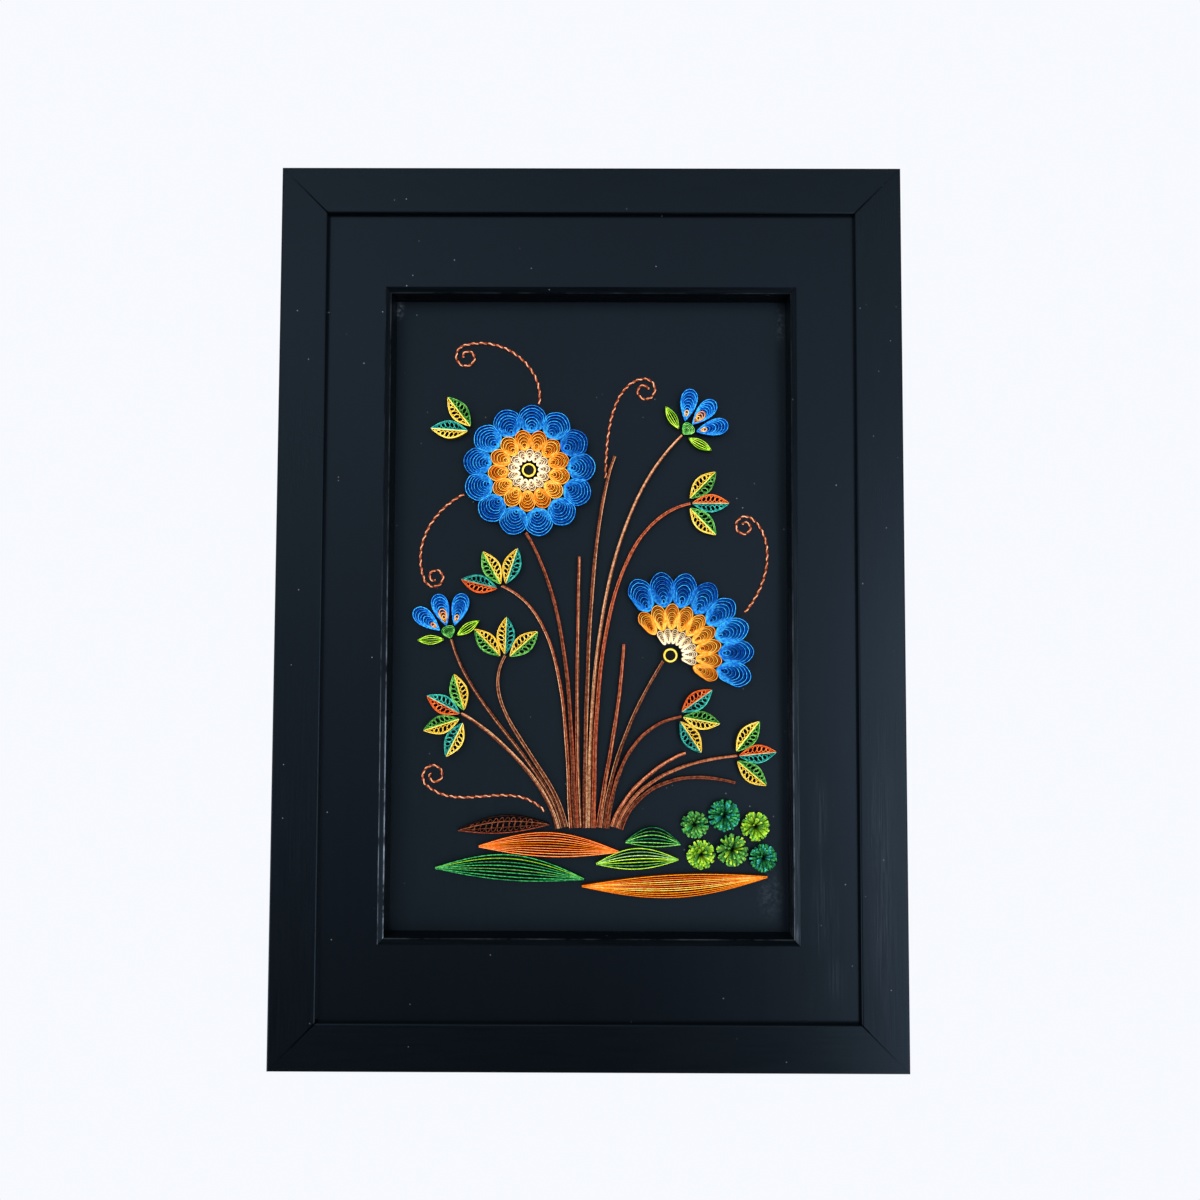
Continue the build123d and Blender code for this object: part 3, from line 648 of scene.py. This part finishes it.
# %% A petal ring, strip by strip
def petal_ring(name, centre, size, count, half, first, ring, slot):
    """One ring of coiled petals: tall turns, and a sunk turn between each two.

    The middle ring sits between the petals of the others, so a part ring has one more.
    """
    inner, outer, inner_crest, outer_crest, height = RINGS[ring]
    tall_paper, sunk_paper, turns, points = PETAL_LOOK[ring]
    between = ring == "inner_petals"
    part_ring = count * half < 180
    skins = []
    for k in range(count + (between and part_ring)):
        angle = first + (2 * k - between) * half
        sizes = (size * v for v in (inner, outer, inner_crest, outer_crest))
        outline = soften(petal(centre, angle, half, *sizes), points)
        foot = polar(centre, size * (inner + 0.16 * (outer - inner)), angle)
        tall = nest(outline, foot, turns, 0.12)
        rise = height - draw.random((turns, 1)) * UNEVEN_TURN
        skins.append(strips(tall, COIL_STRIP, 0, rise, True, 0))
        # Sunk turns take the darker paper: painted shade between the tall turns
        sunk = (tall[:-1] + tall[1:]) / 2
        skins.append(strips(sunk, COIL_STRIP, 0, rise[1:] - SUNK_TURN, True, 1))
    make(f"{name}_{ring}_strips", skins, (tall_paper, sunk_paper), f"{name}_{ring}")


# %% The eye of a blossom
EYE_STRIP, EYE_TWIST = 0.3, 44.0
COLLAR_RADII, COLLAR_HEIGHTS = (3.55, 3.95, 4.3), (8.0, 7.8, 7.6)


def eye(name, centre):
    """Tight black coil, radius 0.3 + 2.7 t at the angle EYE_TWIST * t, in three yellow rings."""
    t = np.linspace(0, 1, 150)
    spiral = (0.3 + 2.7 * t)[:, None] * rays(t * EYE_TWIST) + centre
    circle = rays(np.linspace(0, 2 * np.pi, 32, endpoint=False))
    collars = np.stack([centre + r * circle for r in COLLAR_RADII])
    heights = np.array(COLLAR_HEIGHTS)[:, None]
    skins = [strips(spiral, EYE_STRIP, 0, CENTRE_HEIGHT - 0.2 * t[None], False, 0)]
    skins.append(strips(collars, COIL_STRIP, 0, heights, True, 1))
    make(f"{name}_eye_coil", skins, ("black_strip", "yellow_strip"), f"{name}_eye")


# %% Two blossoms: one full, one half open
SLOTS = {entry["node"]: entry["material_slot"] for entry in frame["record"]["subparts"]}
# Centre, size, petals in a ring, half a petal's angle, first petal's angle
BLOSSOMS = {
    "upper_blossom": ((-40.0, 92.0), 1.0, 13, 180 / 13, 4),
    "lower_blossom": ((52.0, -28.0), 1.25, 8, 9.4, -16),
}
for name, (centre, *form) in BLOSSOMS.items():
    for ring in RINGS:
        petal_ring(name, np.array(centre), *form, ring, SLOTS[f"{name}_{ring}"])
    eye(name, np.array(centre))

# %% [markdown]
# ## Buds and their green cups
#
# A bud is three loose teardrops, blue outside and orange in the heart of each, over a small
# green coil with a narrow leaf on either side. A teardrop is a loose coil pinched at one end,
# so it is nested like a petal, but from the pinched coil's own formula.

# %% The petals of a bud
BUD_STRIP, BUD_SUNK_STRIP = 0.42, 0.40
BUD_PETAL_LENGTH, BUD_PETAL_WIDTH, BUD_START, BUD_SPREAD = 21, 10.5, 9.4, 33
BUD_PAPERS = ("cobalt_strip", "orange_strip", "cobalt_deep_strip")


def bud_petals(name, base, direction):
    """Three teardrops that spread from a base point, each of nine nested turns."""
    skins = []
    for spread, blue_turns in ((-BUD_SPREAD, 7), (0, 5), (BUD_SPREAD, 7)):
        angle = direction + spread
        at = polar(base, BUD_START, angle)
        outline = turned(teardrop(BUD_PETAL_LENGTH, BUD_PETAL_WIDTH), at, angle)
        turns = nest(outline, polar(at, 3, angle), 9, 0.1)
        blue, heart, sunk = turns[:blue_turns], turns[blue_turns:], (turns[1:] + turns[:-1]) / 2
        rise = PETAL_HEIGHT - draw.random((len(blue), 1)) * UNEVEN_TURN
        skins.append(strips(blue, BUD_STRIP, 0, rise, True, 0))
        skins.append(strips(heart, BUD_STRIP, 0, PETAL_HEIGHT, True, 1))
        # The sunk turns take the darker blue: painted shade between the turns
        skins.append(strips(sunk, BUD_SUNK_STRIP, 0, PETAL_HEIGHT - SUNK_TURN, True, 2))
    make(f"{name}_coils", skins, BUD_PAPERS, f"{name}_petals")


# %% The cup of a bud
CUP_STRIP, CUP_LEAF_STRIP, LEAF_HEIGHT = 0.40, 0.38, 5.0
CUP_LENGTH, CUP_WIDTH = 8, 8.4
CUP_LEAF_LENGTH, CUP_LEAF_BOW, CUP_LEAF_START, CUP_SPREAD = 17, 2.8, 4.6, 74
RIGHT_BUD, LEFT_BUD = (60.0, 116.0), (-90.0, -18.0)


def bud_cup(name, base, direction):
    """Small coil at the base, and a leaf of five bowed strips on either side of it."""
    cup = turned(teardrop(CUP_LENGTH, CUP_WIDTH), polar(base, 0.8, direction), direction)
    turns = nest(cup, polar(base, 3, direction), 6, 0.15)
    skins = [strips(turns, CUP_STRIP, 0, LEAF_HEIGHT, True, 0)]
    along = np.linspace(0.0, 1, 24)
    lines = np.stack([bowed(CUP_LEAF_LENGTH, f * CUP_LEAF_BOW, along) for f in (-1, -0.55, 0, 0.55, 1)])
    for angle in (direction - CUP_SPREAD, direction + CUP_SPREAD):
        leaf = turned(lines, polar(base, CUP_LEAF_START, angle), angle)
        skins.append(strips(leaf, CUP_LEAF_STRIP, 0, LEAF_HEIGHT, False, 1))
    make(f"{name}_cup", skins, ("green_strip", "lime_strip"), f"{name}_calyx")


for name, base, direction in (("right_bud", RIGHT_BUD, 46), ("left_bud", LEFT_BUD, 108)):
    bud_petals(name, base, direction)
    bud_cup(name, base, direction)

# %% [markdown]
# ## Leaves
#
# Each leaf has two halves of different colours with a vein between them. A half is an open
# cell: an outline of two turns, and small loops from the vein to the edge that hold it open.
# A flat leaf with a picture of loops on it would cast no shade, so each loop is a strip too.

# %% Two-tone leaves
LEAF_LENGTH, LEAF_WIDTH, LEAF_START, TIP_TO_LEAF = 24.0, 11.0, 4.5, 1.1
LEAF_STRIP, LOOP_STRIP = 0.36, 0.32
INNER_TURN_HEIGHT, LOOP_HEIGHT = 4.4, 4.2
LEAF_CLUSTERS = {
    "leaves_top_left": [(-76, 118), (176, 128)],
    "leaves_top_right": [(62, 71), (46, 0, -46)],
    "leaves_middle_left": [(-56, 14), (166, 119, 72)],
    "leaves_left_bud": [(-55, -32), (134, 88, 42)],
    "leaves_bottom_left": [(-80, -68), (244, 198, 152, 106)],
    "leaves_side_stem": [(92, -93), (52, 6, -40)],
    "leaves_bottom_right": [(56, -67), (36, -10, -56)],
}
LEAF_PAPERS = ("teal_strip", "yellow_strip", "green_strip", "salmon_strip")
LEAF_PAIRS = ((0, 1), (2, 1), (0, 3), (1, 2))


def leaf_half(side):
    """Outline and loops of one half: a straight vein, a bowed edge, and ellipses between."""
    s = np.linspace(0, 1, 30)
    edge = bowed(LEAF_LENGTH, side * LEAF_WIDTH / 2, s) + (0, side * GAP / 2)
    vein = np.stack([np.linspace(LEAF_LENGTH, 0, 14), np.full(14, side * GAP / 2)], -1)
    outline = np.concatenate([edge, vein[1:-1]])
    core = np.array([LEAF_LENGTH * 0.5, side * LEAF_WIDTH * 0.2])
    outlines = np.stack([outline, core + (outline - core) * 0.86])
    at = np.linspace(0.2, 0.8, 6)
    reach = LEAF_WIDTH / 2 * np.sin(np.pi * at)
    t = np.linspace(0, 2 * np.pi, 16, endpoint=False)
    across = 0.36 * reach[:, None] * np.cos(t)
    along = 1.35 * np.sin(t) + 0.28 * side * across
    centres = np.stack([LEAF_LENGTH * at, side * (0.5 * reach + GAP)], -1)
    return outlines, centres[:, None] + np.stack([along, across], -1)


# %% Lay the leaves
turn_heights = np.array([[LEAF_HEIGHT], [INNER_TURN_HEIGHT]])
for number_of_cluster, (name, (base, directions)) in enumerate(LEAF_CLUSTERS.items()):
    skins = []
    for place, angle in enumerate(directions):
        at = polar(base, LEAF_START, angle)
        for side, colour in zip((-1, 1), LEAF_PAIRS[(number_of_cluster + place) % 4]):
            outlines, loops = leaf_half(side)
            outlines, loops = turned(outlines, at, angle), turned(loops, at, angle)
            skins.append(strips(outlines, LEAF_STRIP, 0, turn_heights, True, colour))
            skins.append(strips(loops, LOOP_STRIP, 0, LOOP_HEIGHT, True, colour))
    make(f"{name}_cells", skins, LEAF_PAPERS, name)

# %% [markdown]
# ## Stems
#
# A stem is a bundle of brown strips glued face to face. Each is a bit off its neighbours in
# tone and in line, and every second one lies deeper, mostly in a darker umber, which gives
# the streaks of bark and paints shade between the strips. One solid bar with a bark colour
# would miss the dark lines between the strips. The two side strands part from the middle one
# towards the top, each to a tip of its own.

# %% Strip bundles
BED_TOP = -139.0
STEM_PITCH, STEM_TAPER, STEM_HEIGHT = 2.9, 0.45, 4.0
BARK_STRIP, BARK_SUNK, BARK_WAVE, STRIPS_IN_STRAND = 0.36, 1.4, 0.12, 7
BARKS = ("brown_strip", "umber_strip", "russet_strip", "tan_strip")


def leaf_tip(cluster, leaf):
    """End of the strip that carries a cluster: just short of one of its leaves."""
    base, directions = LEAF_CLUSTERS[cluster]
    return polar(base, LEAF_START - TIP_TO_LEAF, directions[leaf])


# Root, lean at the root, pull towards the end, end, tips of the two side strands
STEMS = {
    "stem_left_bud": [-17.6, (-8, 40), (-78, -64), LEFT_BUD,
                      (leaf_tip("leaves_bottom_left", 2), leaf_tip("leaves_left_bud", 1))],
    "stem_upper_blossom": [-8.8, (-4, 60), (-10, 0), (-42.1, 51.6),
                           (leaf_tip("leaves_middle_left", 1), (-7, 36))],
    "stem_right_bud": [0, (0, 80), (2, 60), RIGHT_BUD,
                       ((16, 102), leaf_tip("leaves_top_right", 1))],
    "stem_lower_blossom": [8.8, (3, 30), (22, -72), (47.6, -31.9),
                           ((22, -21), leaf_tip("leaves_bottom_right", 1))],
    "stem_side": [17.6, (8, 26), (54, -96), leaf_tip("leaves_side_stem", 1),
                  ((62, -91), (94, -110))],
}


# %% Lay the stems
def strands_of(root, lean, pull, end, tips, share):
    """Middle curve, and two beside it that part from it as share cubed, to their tips."""
    foot, end = np.array([root, BED_TOP]), np.array(end)
    middle = curve(foot, foot + lean, np.array(pull), end, len(share))
    grown = (share**3)[:, None]
    beside = sideways(middle, False) * STEM_PITCH * (1 - grown)
    return [middle] + [middle + side * beside + grown * (tip - end) for side, tip in zip((1, -1), tips)]


share = np.linspace(0, 1, 64)
width = (STEM_PITCH - GAP) * (1 - STEM_TAPER * share)
for name, shape in STEMS.items():
    skins = []
    for strand in strands_of(*shape, share):
        left = sideways(strand, False)
        for k, step in enumerate(np.linspace(-0.43, 0.43, STRIPS_IN_STRAND)):
            wave = BARK_WAVE * np.sin(2 * np.pi * (share * draw.uniform(3, 6) + draw.random()))
            line = strand + left * (width * step + wave * (1 - 0.5 * share))[:, None]
            # A sunk strip is mostly umber: streaks of bark, and painted shade between the strips
            if k % 2:
                bark, sunk = draw.choice((1, 0), p=(0.7, 0.3)), BARK_SUNK
            else:
                bark, sunk = draw.choice((0, 2, 3), p=(0.45, 0.33, 0.22)), 0.0
            rise = STEM_HEIGHT - sunk - draw.random() * UNEVEN_TURN
            skins.append(strips(line, BARK_STRIP, 0, rise, False, bark))
    make(f"{name}_bundle", skins, BARKS, name)

# %% [markdown]
# ## Twisted cords
#
# A tendril is paper twisted into a cord. Two plies wind round each other: each ply's centre
# runs half a ply from the path, at an angle that turns once in five and a half millimetres.
# A plain tube with a striped colour would have a smooth outline, and the eye knows a cord by
# its bumpy one. The second ply is a darker copy of the copper, which paints the shade in the
# twist, and each ply is painted darker on its side towards the board.

# %% Two-ply tendrils
TENDRIL_THICKNESS, CURL_TURNS, CURL_SHRINK = 1.6, 1.25, 0.7
TWIST_LENGTH, PLY_SWELL, CORD_STEP, PLY_SIDES = 5.5, 1.15, 0.45, 6
# Start, its pull, the end's pull, end of the curve, radius of the curl, side it curls to
TENDRILS = {
    "tendril_top_left": [(-34, 137), (-30, 160), (-56, 184), (-84, 176), 8, 1],
    "tendril_top_right": [(10, 88), (10, 118), (14, 150), (34, 154), 8, -1],
    "tendril_left": [(-83, 77), (-102, 68), (-118, 44), (-108, 20), 7, 1],
    "tendril_right": [(101, 0), (120, 22), (120, 52), (105, 62), 7, 1],
    "tendril_bottom_left": [(-29, -129), (-50, -106), (-84, -132), (-106, -112), 8, -1],
}


def cord_path(start, start_pull, end_pull, end, radius, side):
    """Cubic curve that goes on as a spiral whose radius shrinks evenly."""
    line = curve(*(np.array(p) for p in (start, start_pull, end_pull, end)), 120)
    heading = np.arctan2(end[1] - end_pull[1], end[0] - end_pull[0]) - side * np.pi / 2
    middle = np.array(end) - radius * rays(heading)
    share = np.linspace(0, 1, 120)[1:]
    angle = heading + side * share * CURL_TURNS * 2 * np.pi
    coil = middle + (radius * (1 - CURL_SHRINK * share))[:, None] * rays(angle)
    path = np.concatenate([line, coil])
    along = np.concatenate([[0], np.cumsum(np.linalg.norm(np.diff(path, axis=0), axis=1))])
    even = np.arange(0, along[-1], CORD_STEP)
    return np.stack([np.interp(even, along, path[:, i]) for i in (0, 1)], -1), even


# %% Wind the cords
def ply_skin(path, along, phase, finish):
    """One ply: a round section whose centre turns about the path, half a ply from it."""
    left = sideways(path, False)
    ply = TENDRIL_THICKNESS / 4
    ring = np.linspace(0, 2 * np.pi, PLY_SIDES, endpoint=False)
    twist = along * 2 * np.pi / TWIST_LENGTH + phase
    off = ply * np.cos(twist)[:, None] + PLY_SWELL * ply * np.cos(ring)
    rise = TENDRIL_THICKNESS / 2 + ply * np.sin(twist)[:, None] + PLY_SWELL * ply * np.sin(ring)
    points = to_world(path[:, None] + left[:, None] * off[..., None], rise).reshape(-1, 3)
    tone = np.repeat(0.6 + 0.4 * np.sin(along * 0.7 + phase), PLY_SIDES)
    # Rim: each ply's side towards the board is darker, as painted shade
    rim = np.tile(0.9 + 0.1 * np.sin(ring), len(path))
    return points, skin(1, len(path), PLY_SIDES, False), tone, rim, finish


for name, shape in TENDRILS.items():
    path, along = cord_path(*shape)
    # The second ply's darker copper paints the shade in the twist
    plies = [ply_skin(path, along, phase, finish) for finish, phase in enumerate((0, np.pi))]
    piece = make(f"{name}_cord", plies, ("copper_strand", "copper_shade_strand"), name)
    piece.data.shade_smooth()

# %% [markdown]
# ## Fringed flowers
#
# A pompom is a strip cut into a fringe along one side, rolled up and fluffed open. Its cut
# blades stand in the middle and lie almost flat outside, so the eye sees them as spokes.
# Hair would be quicker to comb, but it exports badly. So each blade is a thin box section,
# and the blades start at equal turns of 137.5 degrees, which spreads them evenly.

# %% Pompoms
POMPOM_HEIGHT, BLADES, ROWS = 9.0, 96, 5
EVEN_TURN, BLADE_THICKNESS, DEEP_EVERY = 137.5, 0.12, 4
POMPOMS = {
    "pompom_back_left": [(68, -137), 9.0, "green_strip", "forest_strip"],
    "pompom_back_middle": [(87, -131), 10.5, "forest_strip", "teal_strip"],
    "pompom_back_right": [(107, -138), 9.5, "lime_strip", "green_strip"],
    "pompom_front_left": [(72, -156), 9.5, "lime_strip", "green_strip"],
    "pompom_front_middle": [(92, -153), 10.5, "green_strip", "lime_strip"],
    "pompom_front_right": [(112, -158), 9.0, "forest_strip", "teal_strip"],
}


def fringe(centre, radius):
    """Cut blades that lean from upright in the middle to nearly flat outside.

    A blade of length L at a lean a ends L sin a out and L cos a up, and droops on the way.
    """
    order = np.sqrt((np.arange(BLADES) + 0.6) / BLADES)[:, None]
    around = (np.arange(BLADES) * EVEN_TURN * np.pi / 180)[:, None] + draw.normal(0, 0.1, (BLADES, 1))
    s = np.linspace(0, 1, ROWS)
    lean = np.radians(12 + 66 * order + draw.normal(0, 3, (BLADES, 1)))
    long = radius * draw.uniform(0.9, 1.0, (BLADES, 1))
    out = np.minimum(0.6 + long * np.sin(lean) * s**1.15, radius - 0.2)
    lift = np.minimum(0.4 + long * np.cos(lean) * (1.25 * s - 0.25 * s**2), POMPOM_HEIGHT - 0.3)
    bend = around + draw.normal(0, 0.08, (BLADES, 1)) * s
    spoke = rays(bend)
    plan = np.array(centre) + out[..., None] * spoke
    across = np.stack([-spoke[..., 1], spoke[..., 0]], -1)
    wide = np.minimum(0.28 + 0.5 * s, 0.62)[None, :, None] * draw.uniform(0.8, 1.15, (BLADES, 1, 1))
    corners = []
    for side, face in ((1, -1), (1, 1), (-1, 1), (-1, -1)):
        corner = plan + side * across * wide + face * spoke * BLADE_THICKNESS
        corners.append(to_world(corner, lift - face * BLADE_THICKNESS))
    points = np.stack(corners, 2).reshape(-1, 3)
    tone = np.repeat(draw.random(BLADES), ROWS * 4)
    # Rim: each blade darkens towards its root, as painted shade in the middle of the pompom
    return points, tone, np.tile(np.repeat(0.76 + 0.24 * s, 4), BLADES)


# %% Lay the pompoms
for name, (centre, radius, light, deep) in POMPOMS.items():
    points, tone, rim = fringe(centre, radius)
    quads = skin(BLADES, ROWS, 4, False)[:, ::-1]
    piece = make(f"{name}_fringe", [(points, quads, tone, rim, 0)], (light, deep), name)
    blade = np.arange(len(quads)) // (len(quads) // BLADES)
    piece.data.polygons.foreach_set("material_index", (blade % DEEP_EVERY == 0).astype(np.int32))

# %% [markdown]
# ## The leafy bed
#
# The bed is made of lens-shaped blades: strips that all run from point to point, each with
# a bow of its own. The black board shows between them, and each blade mixes three papers. A
# filled leaf would be simpler, but the gaps are what lets it look drawn in lines. The brown
# blade holds a row of small loops.

# %% Blades of spaced strips
BED_HEIGHT, BED_UNEVEN, BLADE_STRIP = 4.5, 1.2, 0.42
LOOPED_BLADE = "bed_blade_back_left"
# Start, direction, length, width and bow; papers; number of strips
BED_BLADES = {
    "bed_blade_front_left": (
        [(-100, -165), -4, 98, 16, 4], ("forest_strip", "green_strip", "lime_strip"), 8),
    "bed_blade_front_right": (
        [(-6, -176), 3, 122, 14, -3], ("orange_strip", "orange_deep_strip", "salmon_strip"), 11),
    "bed_blade_middle_left": (
        [(-72, -151), -2, 92, 15, 3], ("salmon_strip", "orange_deep_strip", "orange_strip"), 10),
    "bed_blade_middle_right": (
        [(4, -162), 3, 54, 13, 2], ("mint_strip", "green_strip", "lime_strip"), 7),
    "bed_blade_back_left": (
        [(-85, -141), 4, 60, 11, 2], ("brown_strip", "umber_strip", "russet_strip"), 4),
    "bed_blade_back_right": (
        [(23, -148), -2, 36, 12, 4], ("forest_strip", "green_strip", "teal_strip"), 6),
}


# %% Lay the bed
def blade_loops(length, width, bow):
    """Row of twelve slanted ellipses along a blade, each as wide as the blade lets it."""
    at = np.linspace(0.16, 0.84, 12)
    t = np.linspace(0, 2 * np.pi, 18, endpoint=False)
    reach = width / 2 * np.sin(np.pi * at)
    across = 0.8 * reach[:, None] * np.cos(t)
    along = length * at[:, None] + 1.7 * np.sin(t) + 0.35 * across
    return np.stack([along, bow * np.sin(np.pi * at)[:, None] + across], -1)


for name, ((start, direction, length, width, bow), papers, count) in BED_BLADES.items():
    skins = []
    for f in np.linspace(-1, 1, count):
        trim = 0.012 + 0.03 * (1 - abs(f))
        line = bowed(length, f * width / 2 + bow, np.linspace(trim, 1 - trim, 40))
        rise = BED_HEIGHT - draw.random() * BED_UNEVEN
        choice = draw.choice(3, p=(0.5, 0.3, 0.2))
        skins.append(strips(turned(line, start, direction), BLADE_STRIP, 0, rise, False, choice))
    if name == LOOPED_BLADE:
        loops = turned(blade_loops(length, width, bow), start, direction)
        skins.append(strips(loops, LOOP_STRIP, 0, BED_HEIGHT - 0.5, True, 0))
    make(f"{name}_strips", skins, papers, name)

# %% [markdown]
# ## Light and camera
#
# The picture is shot straight on under broad soft light, on a white ground. Black satin
# shows little but what it mirrors, so the world is where its look comes from. In front of the
# frame the world is dim, fades upwards and downwards, glows low down at its flanks, and has a
# bright window at the lower right. Behind the frame it is white. Lamps would show as hard
# spots in the paint, so the two soft boxes and the floor are hidden from mirrors.

# %% A soft world to mirror
WHITE_GROUND = (0.93, 0.95, 1.0, 1.0)
MIRRORED_TINT = (0.70, 0.72, 0.84)
SMOOTH = {"interpolation_type": "SMOOTHSTEP"}
bpy.context.scene.view_settings.view_transform = "Standard"
world = bpy.data.worlds.new("soft_studio")
bpy.context.scene.world = world
world.use_nodes = True
add = adder(world.node_tree)
toward = add("SeparateXYZ", {0: add("TexCoord").outputs["Generated"]}).outputs
x, y, z = (toward[axis] for axis in "XYZ")
level = number(add, "MULTIPLY", remap(add, z, 0.3, 0.7, 1.0, 0.12, **SMOOTH),
               remap(add, z, -0.4, 0.3, 0.06, 1.0))
level = number(add, "MULTIPLY", level, remap(add, x, -0.3, 0.0, 1.25, 1.0))
window = number(add, "MULTIPLY", remap(add, x, 0.2, 0.38, 0.0, 4.6, **SMOOTH),
                remap(add, z, -0.08, 0.3, 1.0, 0.0, **SMOOTH))
level = number(add, "ADD", level, window)
wide = remap(add, number(add, "ABSOLUTE", x), 0.45, 0.62, **SMOOTH)
flank = number(add, "MULTIPLY", remap(add, z, -0.25, 0.25, 1.7, 0.2),
               remap(add, x, -0.5, 0.5, 1.0, 0.55))
level = add("Mix", {"Factor": wide, "A": level, "B": flank}).outputs[0]
front = add("VectorMath", {0: MIRRORED_TINT, "Scale": level}, operation="SCALE").outputs[0]
glow = blend(add, remap(add, y, -0.12, 0.2), front, WHITE_GROUND)
glow = blend(add, add("LightPath").outputs["Is Camera Ray"], glow, WHITE_GROUND)
add("OutputWorld", {"Surface": add("Background", {"Color": glow}).outputs[0]})
print("world has", len(world.node_tree.nodes), "nodes")

# %% Soft boxes and floor
SOFTBOX_SIDE = 1.0
FLOOR_DROP = 0.62
FLOOR_CORNERS = [(-1.0, -0.7), (1.0, -0.7), (1.0, 0.08), (-1.0, 0.08)]
PICTURE_MIDDLE = Vector((0.0, -0.02, MIDDLE_Z * MM))


def softbox(name, place, power, colour):
    """Square area light at a place, turned to the middle of the picture."""
    lamp = bpy.data.lights.new(name, "AREA")
    lamp.shape, lamp.size, lamp.energy, lamp.color = "SQUARE", SOFTBOX_SIDE, power, colour
    piece = bpy.data.objects.new(name, lamp)
    bpy.context.collection.objects.link(piece)
    piece.location = place
    piece.rotation_euler = (PICTURE_MIDDLE - Vector(place)).to_track_quat("-Z", "Y").to_euler()
    piece.visible_glossy = False


softbox("key", (-0.75, -1.25, 0.45), 30, (1.0, 0.99, 0.97))
softbox("fill", (0.95, -1.15, 0.1), 14, (0.97, 0.99, 1.0))

floor_material, add, place = blank("pale_floor")
finish_off(add, rgb(240, 240, 242), 0.8, noise(add, place, 30.0, 3.0), 0.05, 0.0005)
floor_z = MIDDLE_Z * MM - FLOOR_DROP
floor_mesh = bpy.data.meshes.new("floor")
floor_mesh.from_pydata([(x, y, floor_z) for x, y in FLOOR_CORNERS], [], [(0, 1, 2, 3)])
floor_mesh.materials.append(floor_material)
floor = bpy.data.objects.new("floor", floor_mesh)
bpy.context.collection.objects.link(floor)
floor.visible_glossy = False
print("floor at z", round(floor_z, 3))

# %% Camera
# Fitted to twelve corners of the frame in the photograph
CAMERA_PLACE = (0.00843, -0.66307, -0.29156)
CAMERA_TURN = (92.674, -0.173, 0.162)
lens = bpy.data.cameras.new("camera")
lens.sensor_width, lens.lens = 36.0, 30.0
lens.clip_start = 0.01
camera = bpy.data.objects.new("camera", lens)
bpy.context.collection.objects.link(camera)
camera.location = CAMERA_PLACE
camera.rotation_euler = [radians(angle) for angle in CAMERA_TURN]
bpy.context.scene.camera = camera
print("camera", round(-CAMERA_PLACE[1], 3), "m in front of the wall")
